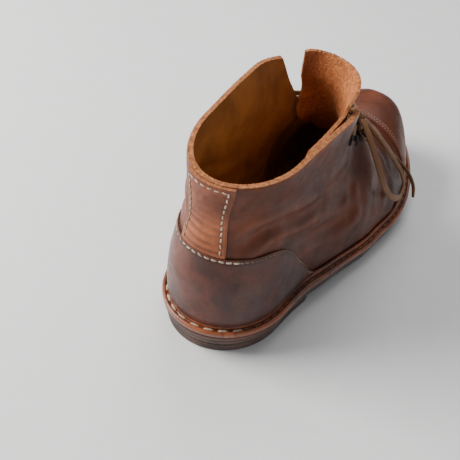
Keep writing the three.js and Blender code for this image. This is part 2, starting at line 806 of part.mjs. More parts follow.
// Hook: a round foot and a strip that rises from its throat side and bends over, open outwards.
function hookGeometry() {
  const foot = new THREE.CylinderGeometry(hookBase - 0.4, hookBase, hookMetal, 12);
  foot.rotateX(Math.PI / 2).translate(0, 0, hookMetal / 2);
  const bend = hookHeight / 2;
  const start = -hookReach / 2 + bend;
  const shape = new THREE.Shape();
  shape.moveTo(start + 1.5, 0.1);
  shape.lineTo(start, 0.1);
  shape.absarc(start, bend, bend - 0.1, -Math.PI / 2, -Math.PI * 1.5, true);
  shape.lineTo(hookReach / 2 - 0.5, hookHeight - 0.4);
  shape.lineTo(hookReach / 2, hookHeight);
  shape.lineTo(hookReach / 2 - 0.2, hookHeight - hookMetal);
  shape.lineTo(start, hookHeight - hookMetal - 0.1);
  shape.absarc(start, bend, bend - 0.1 - hookMetal, -Math.PI * 1.5, -Math.PI / 2, false);
  shape.lineTo(start + 1.5, 0.1 + hookMetal);
  const extrusion = { depth: hookWidth, bevelEnabled: false, curveSegments: 4 };
  const strip = new THREE.ExtrudeGeometry(shape, extrusion);
  strip.rotateX(Math.PI / 2).translate(0, hookWidth / 2, 0);
  return fromManifold(toManifold(foot).add(toManifold(strip)));
}

// A flat lace along points that each carry the direction its face looks to.
function ribbon(path) {
  const rings = path.map(({ point, normal }, i) => {
    const before = path[Math.max(i - 1, 0)].point;
    const after = path[Math.min(i + 1, path.length - 1)].point;
    const ahead = after.clone().sub(before).normalize();
    const across = ahead.clone().cross(normal).normalize();
    const out = across.clone().cross(ahead).normalize();
    const w = laceWidth / 2;
    const h = laceThickness / 2;
    const section = [[w, -h], [w, h], [-w, h], [-w, -h]];
    return section.map(([a, b]) => point.clone().addScaledVector(across, a).addScaledVector(out, b));
  });
  const n = rings[0].length;
  const index = [];
  for (let k = 0; k + 1 < rings.length; k++) {
    for (let i = 0; i < n; i++) {
      const a = k * n + i;
      const b = k * n + ((i + 1) % n);
      index.push(a, b + n, b, a, a + n, b + n);
    }
  }
  const end = (rings.length - 1) * n;
  for (let i = 1; i + 1 < n; i++) index.push(0, i, i + 1, end, end + i + 1, end + i);
  return closedGeometry(rings.flat().flatMap((p) => [p.x, p.y, p.z]), index);
}

// A run of the lace over the tongue, from a place on the inner facing to one on the outer.
const laceRows = [...eyeletRows, ...hookRows];
const laceStart = hookBase + 2 * gap;   // from the middle of an eyelet or hook
const laceLift = quarterStep + 4 * gap + laceThickness / 2 + eyeletHeight;
function laceRun(innerRise, outerRise, over) {
  const inner = facingFrame(-1, innerRise);
  const outer = facingFrame(1, outerRise);
  const path = [];
  const steps = 8;
  for (let k = 0; k <= steps; k++) {
    const t = k / steps;
    const x = mix(laceStart - inner.half, outer.half - laceStart, t);
    const { origin, normal } = instepFrame(x, mix(inner.up, outer.up, t));
    const lift = mix(laceLift, over, Math.sin(Math.PI * t) ** 2);
    path.push({ point: origin.addScaledVector(normal, lift), normal });
  }
  return toManifold(ribbon(path));
}

// The bar over the lowest eyelets and the crossings above it, joined where they meet.
function lacingGeometry() {
  let lacing = laceRun(laceRows[0], laceRows[0], 1.8);
  for (let k = 0; k + 1 < laceRows.length; k++) {
    lacing = lacing.add(laceRun(laceRows[k], laceRows[k + 1], 1.4));
    lacing = lacing.add(laceRun(laceRows[k + 1], laceRows[k], 2));
  }
  return fromManifold(lacing);
}

// The bow, in the boot's own frame: each route is a list of points chosen by hand.
const bowRoutes = {
  lace_knot: [
    [16.3, 124.9, 98.1], [18.1, 123.4, 99.5], [18.5, 121.9, 101.8], [17.4, 121, 104.2],
    [15.2, 121.1, 105.9], [12.7, 122.3, 106.4], [10.8, 124.1, 105.6], [10.2, 126.1, 103.8],
    [11.1, 127.6, 101.6], [13.3, 128.2, 100], [15.9, 127.8, 99.4], [18.3, 126.5, 100.2],
    [19.5, 124.9, 102.1],
  ],
  lace_loop_outer: [
    [20.2, 124.6, 99.2], [24.1, 127.6, 95.8], [27.2, 133.3, 89.5], [29.8, 140.7, 79.7], [34, 149, 68],
    [39, 156, 56], [45, 160, 45], [50, 157, 37.5], [52.5, 148, 35.5], [53, 138, 39], [52.5, 129, 45.5],
    [51.5, 121, 54], [49, 115, 64], [45, 112, 75], [38.8, 112.2, 85.7], [30.7, 114.8, 95],
    [24.1, 118.5, 100.3], [20, 121.1, 101.9],
  ],
  lace_loop_inner: [
    [10.4, 129.2, 102.8], [3.6, 136.2, 101.9], [-5.2, 144.6, 97.7], [-15, 152, 90], [-27, 156, 79],
    [-39, 157, 67], [-50, 154, 57], [-57, 147, 53], [-59, 139, 57], [-57, 132, 66], [-50, 128, 78],
    [-39, 127, 90], [-25, 128.4, 99.9], [-10.2, 129, 106.1], [2.6, 127.6, 106.9], [9, 126.3, 105.4],
  ],
  lace_end_outer: [
    [17.6, 128.6, 98.5], [19.6, 135.2, 91.4], [22.3, 143.6, 80.7], [26, 152, 70], [31.5, 160, 59],
    [39, 167, 49], [47, 171, 39], [53, 171, 30], [56, 168, 23],
  ],
  lace_end_inner: [
    [12.9, 129.4, 99], [8.6, 137.2, 94.4], [3.8, 146.6, 87.7], [-3, 156, 80], [-13, 164, 72],
    [-25, 169, 64], [-39, 171, 55], [-51, 170, 44], [-58, 165, 32],
  ],
};

// The top hooks carry the bow. The routes are drawn for the sizes below, and go with the hooks and
// with the length and width of the last when those change.
const bowSeat = facingFrame(1, hookRows.at(-1)).origin;
bowSeat.add(facingFrame(-1, hookRows.at(-1)).origin).divideScalar(2);
const drawnFor = { width: 97, length: 272, y: 94.2582, z: 105.4236 };
function bowPoint([x, y, z]) {
  const ahead = (y - drawnFor.y) * (lastLength / drawnFor.length);
  return new THREE.Vector3(
    x * (ballWidth / drawnFor.width),
    bowSeat.y + ahead,
    z * (bowSeat.z / drawnFor.z),
  );
}

// A cord's steps along its route: the least number, and their length in thicknesses of the cord.
const fewestSteps = 18;
const cordStep = 2.6;

function cordGeometry(route) {
  const curve = new THREE.CatmullRomCurve3(route.map(bowPoint), false, 'centripetal');
  const section = new THREE.Shape();
  const sides = 8;
  for (let i = 0; i < sides; i++) {
    const turn = (i / sides) * Math.PI * 2;
    const at = [(bowThickness / 2) * Math.cos(turn), (bowThickness / 2) * Math.sin(turn)];
    if (i === 0) section.moveTo(...at);
    else section.lineTo(...at);
  }
  const steps = Math.max(fewestSteps, Math.ceil(curve.getLength() / (cordStep * bowThickness)));
  return new THREE.ExtrudeGeometry(section, { steps, extrudePath: curve, bevelEnabled: false });
}

const leather = new THREE.MeshStandardMaterial({ color: 0x6e3522, roughness: 0.4, metalness: 0 });
const counterLeather = new THREE.MeshStandardMaterial({ color: 0x4a2520, roughness: 0.35, metalness: 0 });
const stripLeather = new THREE.MeshStandardMaterial({ color: 0x8a4326, roughness: 0.45, metalness: 0 });
const suede = new THREE.MeshStandardMaterial({ color: 0xa8592f, roughness: 0.95, metalness: 0 });
const weltLeather = new THREE.MeshStandardMaterial({ color: 0x93421f, roughness: 0.3, metalness: 0 });
const soleLeather = new THREE.MeshStandardMaterial({ color: 0x5b2f22, roughness: 0.6, metalness: 0 });
const soleRubber = new THREE.MeshStandardMaterial({ color: 0x3a2a26, roughness: 0.8, metalness: 0 });
const lining = new THREE.MeshStandardMaterial({ color: 0x9a6b3a, roughness: 0.7, metalness: 0 });
const blackMetal = new THREE.MeshStandardMaterial({ color: 0x17181a, roughness: 0.35, metalness: 1 });
const laceLeather = new THREE.MeshStandardMaterial({ color: 0x9b6238, roughness: 0.7, metalness: 0 });

const boot = new THREE.Group();
function piece(name, geometry, material) {
  const mesh = new THREE.Mesh(geometry, material);
  mesh.name = name;
  boot.add(mesh);
  return mesh;
}

function upperWithHoles() {
  let solid = upperSolid;
  for (const rise of eyeletRows) {
    for (const side of [1, -1]) {
      solid = solid.subtract(toManifold(standOn(eyeletHole(), facingFrame(side, rise), 0)));
    }
  }
  return fromManifold(solid);
}

piece('upper', upperWithHoles(), leather);
piece('counter', counterGeometry(), counterLeather);
piece('heel_strip', heelStripGeometry(), stripLeather);
piece('tongue', tongueGeometry(), suede);
piece('insole', insoleGeometry(), lining);
piece('welt', weltGeometry(), weltLeather);
piece('midsole', midsoleGeometry(), soleLeather);
piece('outsole', outsoleGeometry(), soleRubber);
piece('heel_lift', heelLiftGeometry(), soleRubber);

for (const [side, name] of [[1, 'outer'], [-1, 'inner']]) {
  eyeletRows.forEach((rise, i) => {
    const frame = facingFrame(side, rise);
    const eyelet = standOn(eyeletGeometry(), frame, seatUnder(frame, eyeletFlange) + gap);
    piece(`eyelet_${name}_${i + 1}`, eyelet, blackMetal);
  });
  hookRows.forEach((rise, i) => {
    const frame = facingFrame(side, rise);
    const hook = standOn(hookGeometry(), frame, seatUnder(frame, hookBase) + gap);
    piece(`hook_${name}_${i + 1}`, hook, blackMetal);
  });
}

piece('lace_crossings', lacingGeometry(), laceLeather);
for (const [name, route] of Object.entries(bowRoutes)) piece(name, cordGeometry(route), laceLeather);

export default boot;
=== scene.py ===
"""A right-foot lace-up trekking boot in worn leather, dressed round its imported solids.

Metres, +Z up, +Y towards the toe, +X towards the outer side. The form is worked out in millimetres
from the same named sizes and tables as the solids, and turned into metres when a mesh is made.
"""
import math

import bpy
import numpy as np
from mathutils import Matrix, Vector


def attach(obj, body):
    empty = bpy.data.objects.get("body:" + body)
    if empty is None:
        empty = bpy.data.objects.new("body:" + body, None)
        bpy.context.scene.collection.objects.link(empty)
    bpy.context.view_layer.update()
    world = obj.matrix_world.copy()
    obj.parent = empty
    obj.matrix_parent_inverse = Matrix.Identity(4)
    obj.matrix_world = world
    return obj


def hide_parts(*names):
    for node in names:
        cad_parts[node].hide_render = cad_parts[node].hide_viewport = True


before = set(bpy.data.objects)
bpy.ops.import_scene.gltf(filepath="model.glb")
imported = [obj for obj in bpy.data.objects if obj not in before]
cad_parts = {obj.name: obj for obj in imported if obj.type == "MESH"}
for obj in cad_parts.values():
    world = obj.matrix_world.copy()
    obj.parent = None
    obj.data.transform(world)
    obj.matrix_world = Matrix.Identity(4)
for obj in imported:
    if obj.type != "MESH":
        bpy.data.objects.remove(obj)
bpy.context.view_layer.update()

MM = 0.001
FINE = 2

# Camera, at the photograph's angle
CAMERA_YAW = -0.558
CAMERA_PITCH = 0.729
CAMERA_ROLL = 0.103
CAMERA_PLACE = (0.1991, -0.3216, 0.4083)
CAMERA_LENS = 63.14
SENSOR = 36.0


def add_camera():
    cy, sy = math.cos(CAMERA_YAW), math.sin(CAMERA_YAW)
    cp, sp = math.cos(CAMERA_PITCH), math.sin(CAMERA_PITCH)
    ahead = Vector((sy * cp, cy * cp, -sp))
    right = Vector((cy, -sy, 0))
    up = right.cross(ahead)
    cr, sr = math.cos(CAMERA_ROLL), math.sin(CAMERA_ROLL)
    rolled_right = right * cr + up * sr
    rolled_up = up * cr - right * sr
    data = bpy.data.cameras.new("camera")
    data.lens = CAMERA_LENS
    data.sensor_width = SENSOR
    data.clip_start = 0.01
    camera = bpy.data.objects.new("camera", data)
    bpy.context.scene.collection.objects.link(camera)
    turn = Matrix((rolled_right, rolled_up, -ahead)).transposed()
    camera.matrix_world = Matrix.Translation(CAMERA_PLACE) @ turn.to_4x4()
    bpy.context.scene.camera = camera


add_camera()

# Driving dimensions of the last, in millimetres
LAST_LENGTH = 272
BALL_WIDTH = 97
HEEL_WIDTH = 70
TOE_HEIGHT = 45
INSTEP_HEIGHT = 74
SHAFT_HEIGHT = 112
COLLAR_RISE_OUTER = 7
COLLAR_RISE_INNER = 20
SEAT_BACK = 36
HEEL_ROUND = 40
TOE_ROUND = 84
TOE_NOSE = 26
TOE_SPRING = 13
THROAT_GAP = 9
COLLAR_GAP = 31
THROAT_FLARE = 1.2

WALL = 2.6
QUARTER_STEP = 1.3
CAP_STEP = 1.2
OVERLAY = 1.5
OVERLAY_GAP = 0.45
GAP = 0.3
SEAM = 0.6
HEEL_LIFT = 6.5
OUTSOLE = 5
MIDSOLE = 4
WELT = 4.4
WELT_REACH = 8
LIP_HEIGHT = 6.5
LIP = 2.6
INSOLE = 3
TONGUE = 2.4
TONGUE_RISE = 10
TONGUE_OVERLAP = 9
TONGUE_INNER_LAP = 3
TONGUE_TUCK = 6
TONGUE_CLEAR = 2.6
TONGUE_LEAN = 8
TONGUE_SHOW = 8
TONGUE_CORNER = 10
TONGUE_INNER_CORNER = 3
WING_RISE = 30
WING_DROP = 10
WING_FRONT = 0.62
WING_BACK = 0.42
HEEL_LENGTH = 76
STRIP_TOP = 18
STRIP_WAIST = 16
STRIP_FOOT = 18
EYELET_INSET = 11
LACE_WIDTH = 3.6
LACE_THICKNESS = 1.8

STATIONS = [
    dict(along=0.00, heel=0.50, outer=0.00, inner=0.00, toe=0.00, instep=4.20, full=2.20, drift=0.000),
    dict(along=0.15, heel=0.50, outer=0.01, inner=0.00, toe=0.00, instep=3.90, full=2.20, drift=0.000),
    dict(along=0.30, heel=0.42, outer=0.09, inner=0.03, toe=0.00, instep=3.20, full=2.20, drift=0.000),
    dict(along=0.45, heel=0.20, outer=0.30, inner=0.22, toe=0.00, instep=2.30, full=1.80, drift=-0.010),
    dict(along=0.53, heel=0.08, outer=0.43, inner=0.36, toe=0.00, instep=1.80, full=1.75, drift=-0.025),
    dict(along=0.61, heel=0.00, outer=0.515, inner=0.465, toe=0.00, instep=1.12, full=1.80, drift=-0.045),
    dict(along=0.68, heel=0.00, outer=0.535, inner=0.485, toe=0.25, instep=0.70, full=2.00, drift=-0.062),
    dict(along=0.77, heel=0.00, outer=0.525, inner=0.480, toe=0.78, instep=0.24, full=2.20, drift=-0.083),
    dict(along=0.86, heel=0.00, outer=0.495, inner=0.455, toe=1.12, instep=0.02, full=2.40, drift=-0.102),
    dict(along=0.93, heel=0.00, outer=0.470, inner=0.430, toe=1.10, instep=0.00, full=2.50, drift=-0.116),
    dict(along=1.00, heel=0.00, outer=0.450, inner=0.410, toe=1.02, instep=0.00, full=2.60, drift=-0.130),
]
LEVELS = [
    dict(up=0.00, back=0.000, half=0.500, round=0.571, nose=0.95),
    dict(up=0.14, back=-0.035, half=0.525, round=0.600, nose=0.95),
    dict(up=0.32, back=-0.030, half=0.510, round=0.590, nose=1.00),
    dict(up=0.52, back=0.035, half=0.470, round=0.560, nose=1.12),
    dict(up=0.76, back=0.100, half=0.450, round=0.520, nose=1.12),
    dict(up=1.00, back=0.090, half=0.487, round=0.600, nose=0.80),
    dict(up=1.20, back=0.080, half=0.525, round=0.640, nose=0.58),
    dict(up=1.50, back=0.070, half=0.540, round=0.660, nose=0.60),
]
UNDERSIDE = [
    dict(along=-0.05, lift=1.0, spring=0),
    dict(along=0.26, lift=1.0, spring=0),
    dict(along=0.36, lift=0.8, spring=0),
    dict(along=0.48, lift=0.2, spring=0),
    dict(along=0.56, lift=0.0, spring=0),
    dict(along=0.74, lift=0.0, spring=0),
    dict(along=0.88, lift=0.0, spring=0.32),
    dict(along=1.05, lift=0.0, spring=1.15),
]
COUNTER_EDGE = [
    dict(way=0.00, up=0.545),
    dict(way=0.34, up=0.535),
    dict(way=0.47, up=0.530),
    dict(way=0.57, up=0.505),
    dict(way=0.67, up=0.435),
    dict(way=0.81, up=0.280),
    dict(way=0.93, up=0.130),
    dict(way=1.00, up=0.080),
]
COUNTER_END = 0.50
THROAT_ALONG = 0.69
QUARTER_FOOT = 0.68
CAP_ALONG = 0.80
ROUND_SHARE = 0.30
CORNER_SHARE = 0.66
EYELET_ROWS = [0.05]
HOOK_ROWS = [0.2, 0.34, 0.52]

# The form: every function takes numbers or arrays


def mix(a, b, t):
    return a + (b - a) * t


def smooth(t):
    c = np.clip(t, 0, 1)
    return c * c * (3 - 2 * c)


def round_end(t, n=2.0):
    c = np.clip(t, 0, 1)
    return (1 - (1 - c) ** n) ** (1 / n)


def column(rows, by, name, x):
    """Smooth value of one column of a table at x, without overshoot."""
    at = np.array([row[by] for row in rows], float)
    value = np.array([row[name] for row in rows], float)
    slope = np.diff(value) / np.diff(at)
    tangent = np.empty(len(at))
    tangent[0], tangent[-1] = slope[0], slope[-1]
    a, b = slope[:-1], slope[1:]
    total = np.where(a + b == 0, 1, a + b)
    tangent[1:-1] = np.where(a * b <= 0, 0, 2 * a * b / total)
    c = np.clip(x, at[0], at[-1])
    i = np.clip(np.searchsorted(at, c, side="left") - 1, 0, len(at) - 2)
    h = at[i + 1] - at[i]
    t = (c - at[i]) / h
    return (
        (2 * t**3 - 3 * t**2 + 1) * value[i]
        + (t**3 - 2 * t**2 + t) * h * tangent[i]
        + (3 * t**2 - 2 * t**3) * value[i + 1]
        + (t**3 - t**2) * h * tangent[i + 1]
    )


def share(y):
    return (y + SEAT_BACK) / LAST_LENGTH


def place(along):
    return along * LAST_LENGTH - SEAT_BACK


def station(name, y):
    return column(STATIONS, "along", name, share(y))


def level(name, up):
    return column(LEVELS, "up", name, up / SHAFT_HEIGHT)


def sole_under(y):
    lift = column(UNDERSIDE, "along", "lift", share(y)) * HEEL_LIFT
    return lift + column(UNDERSIDE, "along", "spring", share(y)) * TOE_SPRING


def heel_gap(y):
    return GAP * smooth((column(UNDERSIDE, "along", "lift", share(y)) - 0.5) * 2)


def feather(y):
    return sole_under(y) + heel_gap(y) + OUTSOLE + MIDSOLE + 3 * GAP


def plan_half(side, y):
    flank = np.where(side > 0, station("outer", y), station("inner", y))
    width = station("heel", y) * HEEL_WIDTH + flank * BALL_WIDTH
    return width * round_end((y + SEAT_BACK) / HEEL_ROUND) * round_end((place(1) - y) / TOE_ROUND, 2.1)


def centre_x(y):
    return station("drift", y) * BALL_WIDTH


def crown(y):
    tall = station("toe", y) * TOE_HEIGHT + station("instep", y) * INSTEP_HEIGHT
    return tall * round_end((place(1) - y) / TOE_NOSE, 2.2)


def halve(low, high, stays, steps=26):
    """Narrows low and high to where stays(middle) turns false, for arrays."""
    for _ in range(steps):
        middle = (low + high) / 2
        keep = stays(middle)
        low = np.where(keep, middle, low)
        high = np.where(keep, high, middle)
    return (low + high) / 2


FRONT_UPS = np.linspace(0, 220, 4401)
FRONT_PLACES = np.where(
    crown(place(0.38)) < FRONT_UPS,
    place(0.38),
    halve(np.full(4401, place(0.38)), np.full(4401, place(1.0)), lambda y: crown(y) > FRONT_UPS),
)


def front_at(up):
    return np.interp(up, FRONT_UPS, FRONT_PLACES)


def half_width(side, y, up):
    swell = 1 + 0.045 * (1 - (1 - np.clip(up / 14, 0, 1)) ** 2)
    full = station("full", y)
    t = np.clip(up / np.maximum(crown(y), 0.01), 0, 1)
    upright = plan_half(side, y) * swell * (1 - t**full) ** (1 / full)
    back = level("back", up) * HEEL_WIDTH - SEAT_BACK
    ends = round_end((y - back) / (level("round", up) * HEEL_WIDTH))
    ends = ends * round_end((front_at(up) - y) / (level("nose", up) * HEEL_WIDTH))
    flat = level("half", up) * HEEL_WIDTH * ends
    axis = 0.20 + 0.27 * (up / INSTEP_HEIGHT)
    return mix(flat, upright, smooth((share(y) - axis) / 0.15))


def surface(side, y, up):
    side, y, up = np.broadcast_arrays(side, y, up)
    return np.stack([centre_x(y) + side * half_width(side, y, up), y, feather(y) + up], axis=-1)


def height_for(side, y, half):
    side, y, half = np.broadcast_arrays(np.asarray(side, float), np.asarray(y, float), half)
    top = crown(y)
    return halve(top * 0.4, top, lambda up: half_width(side, y, up) > half)


def place_for(side, up, half):
    side, up, half = np.broadcast_arrays(np.asarray(side, float), np.asarray(up, float), half)
    return halve(np.full(up.shape, place(0.3)), front_at(up), lambda y: half_width(side, y, up) > half)


THROAT_Y = place(THROAT_ALONG)
THROAT_UP = float(height_for(1, THROAT_Y, THROAT_GAP))


def collar_rise(side):
    return np.where(np.asarray(side) > 0, COLLAR_RISE_OUTER, COLLAR_RISE_INNER)


def corner_up(side):
    return SHAFT_HEIGHT + collar_rise(side)


def collar_up(side, a):
    return SHAFT_HEIGHT + collar_rise(side) * smooth(a / CORNER_SHARE) ** 1.2


def lean(u, arch):
    return mix(u, np.arcsin(np.minimum(u, 1) * math.sin(1.45)) / 1.45, arch)


def facing_edge(side, r):
    up = mix(corner_up(side), THROAT_UP, r)
    half = mix(COLLAR_GAP, THROAT_GAP, np.maximum(r, 0) ** THROAT_FLARE)
    return place_for(side, up, half), up, half


def rear_top(s):
    """Where the rear's top edge is: place along the foot and height above the feather line."""
    side = np.where(s < 0, -1.0, 1.0)
    a = np.abs(s)
    r = np.clip((a - CORNER_SHARE) / (1 - CORNER_SHARE), 0, 1)
    edge_y, edge_up, _ = facing_edge(side, r)
    up = collar_up(side, a)
    start = (level("back", up) + level("round", up)) * HEEL_WIDTH - SEAT_BACK
    t = np.clip((a - ROUND_SHARE) / (CORNER_SHARE - ROUND_SHARE), 0, 1)
    corner_y = facing_edge(side, np.zeros_like(a))[0]
    past = a > CORNER_SHARE
    return np.where(past, edge_y, mix(start, corner_y, t)), np.where(past, edge_up, up)


TOP_SHARES = np.linspace(-1, 1, 2001)
TOP_PLACES, TOP_UPS = rear_top(TOP_SHARES)


def rear_point(s, up):
    """The rear of the upper: s from -1 (inner throat) past 0 (back) to 1 (outer throat)."""
    s, up = np.broadcast_arrays(np.asarray(s, float), np.asarray(up, float))
    side = np.where(s < 0, -1.0, 1.0)
    a = np.abs(s)
    back = level("back", up) * HEEL_WIDTH - SEAT_BACK
    turn = level("round", up) * HEEL_WIDTH
    rounded = back + turn * (1 - np.cos(np.clip(a / ROUND_SHARE, 0, 1) * math.pi / 2))
    top_y = np.interp(s, TOP_SHARES, TOP_PLACES)
    top_up = np.interp(s, TOP_SHARES, TOP_UPS)
    v = lean(up / top_up, smooth((a - CORNER_SHARE) / (1 - CORNER_SHARE)))
    t = np.clip((a - ROUND_SHARE) / (1 - ROUND_SHARE), 0, 1)
    low = mix(HEEL_ROUND - SEAT_BACK, place(QUARTER_FOOT), t)
    start_y = np.interp(side * ROUND_SHARE, TOP_SHARES, TOP_PLACES)
    bow = back + turn - mix(HEEL_ROUND - SEAT_BACK, start_y, v)
    flank = mix(low, top_y, v) + bow * (1 - t) ** 3
    return surface(side, np.where(a <= ROUND_SHARE, rounded, flank), up)


def unit(v):
    return v / np.maximum(np.linalg.norm(v, axis=-1, keepdims=True), 1e-9)


def rear_normal(s, up):
    d = 0.004
    along = rear_point(np.minimum(s + d, 1), up) - rear_point(np.maximum(s - d, -1), up)
    rise = rear_point(s, up + 0.4) - rear_point(s, up - 0.4)
    return unit(np.cross(along, rise))


def arch_point(side, g, up_share, arch_lift=1.0):
    """The forepart: g from 0 at the toe to 1 at the throat, up_share from the feather line to the ridge."""
    y_top = mix(place(1), THROAT_Y, g)
    top = height_for(side, y_top, THROAT_GAP * np.minimum(1, g * 3))
    up = top * up_share
    y = mix(mix(place(1), place(QUARTER_FOOT), g), y_top, lean(up_share, arch_lift))
    return surface(side, y, up)


def instep_point(x, up):
    side = np.where(x < 0, -1.0, 1.0)
    return surface(side, place_for(side, up, np.abs(x)), up)


def instep_frame(x, up):
    d = 0.5
    across = unit(instep_point(x + d, up) - instep_point(x - d, up))
    rise = unit(instep_point(x, up + d) - instep_point(x, up - d))
    return instep_point(x, up), across, unit(np.cross(rise, across))

# Meshes


def add_mesh(name, points, faces, face_slots=None, materials=(), attributes=None, smooth_faces=True):
    """A mesh object from points in millimetres; attributes are values by point."""
    mesh = bpy.data.meshes.new(name)
    mesh.from_pydata((np.asarray(points) * MM).tolist(), [], [list(map(int, f)) for f in faces])
    for material in materials:
        mesh.materials.append(material)
    if face_slots is not None:
        mesh.polygons.foreach_set("material_index", np.asarray(face_slots, dtype=np.int32))
    mesh.polygons.foreach_set("use_smooth", np.full(len(mesh.polygons), smooth_faces))
    for key, values in (attributes or {}).items():
        layer = mesh.attributes.new(key, "FLOAT", "POINT")
        layer.data.foreach_set("value", np.asarray(values, dtype=np.float32))
    mesh.update()
    item = bpy.data.objects.new(name, mesh)
    bpy.context.scene.collection.objects.link(item)
    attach(item, "root")
    return item


def grid_faces(rows, columns, offset=0, closed=False, flip=False):
    """Faces of a grid of points; closed joins the last row to the first."""
    i = np.arange(rows if closed else rows - 1)
    j = np.arange(columns - 1)
    i, j = (a.ravel() for a in np.meshgrid(i, j, indexing="ij"))
    k = (i + 1) % rows
    corners = [i * columns + j, i * columns + j + 1, k * columns + j + 1, k * columns + j]
    faces = np.stack(corners, axis=1) + offset
    return faces[:, ::-1] if flip else faces


def shell(name, outer, inner, materials, attributes=None, flip=False):
    """A closed sheet from two grids of points; slots are 0 outer, 1 inner, 2 edge."""
    rows, columns, _ = outer.shape
    n = rows * columns
    front = grid_faces(rows, columns, 0, flip=flip)
    rear = grid_faces(rows, columns, n, flip=not flip)
    at = lambda i, j: i * columns + j
    loop = [at(0, j) for j in range(columns)]
    loop += [at(i, columns - 1) for i in range(1, rows)]
    loop += [at(rows - 1, j) for j in range(columns - 2, -1, -1)]
    loop += [at(i, 0) for i in range(rows - 2, 0, -1)]
    a = np.array(loop)
    b = np.roll(a, -1)
    rim = np.stack([b, a, a + n, b + n], axis=1)
    if flip:
        rim = rim[:, ::-1]
    points = np.concatenate([outer.reshape(-1, 3), inner.reshape(-1, 3)])
    faces = np.concatenate([front, rear, rim])
    slots = np.concatenate([np.zeros(len(front)), np.ones(len(rear)), np.full(len(rim), 2)])
    doubled = {key: np.concatenate([v.ravel(), v.ravel()]) for key, v in (attributes or {}).items()}
    item = add_mesh(name, points, faces, slots, materials, doubled)
    edges = item.data.attributes.new("sharp_edge", "BOOLEAN", "EDGE")
    rim_keys = set()
    for p, q in zip(a, b):
        rim_keys.add((min(p, q), max(p, q)))
        rim_keys.add((min(p, q) + n, max(p, q) + n))
    pairs = np.empty(len(item.data.edges) * 2, dtype=np.int64)
    item.data.edges.foreach_get("vertices", pairs)
    pairs = pairs.reshape(-1, 2)
    sharp = [(min(p, q), max(p, q)) in rim_keys for p, q in pairs]
    edges.data.foreach_set("value", sharp)
    return item


def grid_normals(points, flip=False):
    """Normals of a grid of points, row direction crossed with column direction."""
    along_rows = np.gradient(points, axis=0)
    along_columns = np.gradient(points, axis=1)
    normals = unit(np.cross(along_columns, along_rows))
    return -normals if flip else normals


def spline(points, step):
    """A smooth line through points, sampled about every step."""
    p = np.asarray(points, float)
    p = np.vstack([2 * p[0] - p[1], p, 2 * p[-1] - p[-2]])
    knots = np.concatenate([[0], np.cumsum(np.sqrt(np.linalg.norm(np.diff(p, axis=0), axis=1)))])
    out = []
    for i in range(1, len(p) - 2):
        count = max(2, int(np.linalg.norm(p[i + 1] - p[i]) / step))
        t = np.linspace(knots[i], knots[i + 1], count, endpoint=False)[:, None]
        t0, t1, t2, t3 = knots[i - 1 : i + 3]
        a1 = (t1 - t) / (t1 - t0) * p[i - 1] + (t - t0) / (t1 - t0) * p[i]
        a2 = (t2 - t) / (t2 - t1) * p[i] + (t - t1) / (t2 - t1) * p[i + 1]
        a3 = (t3 - t) / (t3 - t2) * p[i + 1] + (t - t2) / (t3 - t2) * p[i + 2]
        b1 = (t2 - t) / (t2 - t0) * a1 + (t - t0) / (t2 - t0) * a2
        b2 = (t3 - t) / (t3 - t1) * a2 + (t - t1) / (t3 - t1) * a3
        out.append((t2 - t) / (t2 - t1) * b1 + (t - t1) / (t2 - t1) * b2)
    out.append(p[-2][None])
    return np.vstack(out)


def strap_section(width, thick, sides=14):
    """A flat lace's section: a rounded rectangle, across and out."""
    turn = np.linspace(0, 2 * math.pi, sides, endpoint=False)
    squarer = 0.55
    across = np.sign(np.cos(turn)) * np.abs(np.cos(turn)) ** squarer * width / 2
    out = np.sign(np.sin(turn)) * np.abs(np.sin(turn)) ** squarer * thick / 2
    return np.stack([across, out], axis=1)


def sweep(path, faces_to, section):
    """Rings of a section along a path; faces_to is the direction that its flat side looks to."""
    ahead = unit(np.gradient(path, axis=0))
    across = unit(np.cross(ahead, faces_to))
    out = np.cross(across, ahead)
    return path[:, None] + across[:, None] * section[None, :, :1] + out[:, None] * section[None, :, 1:]


def tube(name, rings, materials, attributes=None):
    """A closed tube from rings of points, with flat caps."""
    n, m, _ = rings.shape
    i, j = (a.ravel() for a in np.meshgrid(np.arange(n - 1), np.arange(m), indexing="ij"))
    k = (j + 1) % m
    sides = np.stack([i * m + j, (i + 1) * m + j, (i + 1) * m + k, i * m + k], axis=1)
    faces = [list(f) for f in sides]
    faces.append(list(range(m)))
    faces.append([(n - 1) * m + q for q in range(m - 1, -1, -1)])
    return add_mesh(name, rings.reshape(-1, 3), faces, None, materials, attributes)


# Materials

def value_of(colour):
    return (*colour, 1.0)


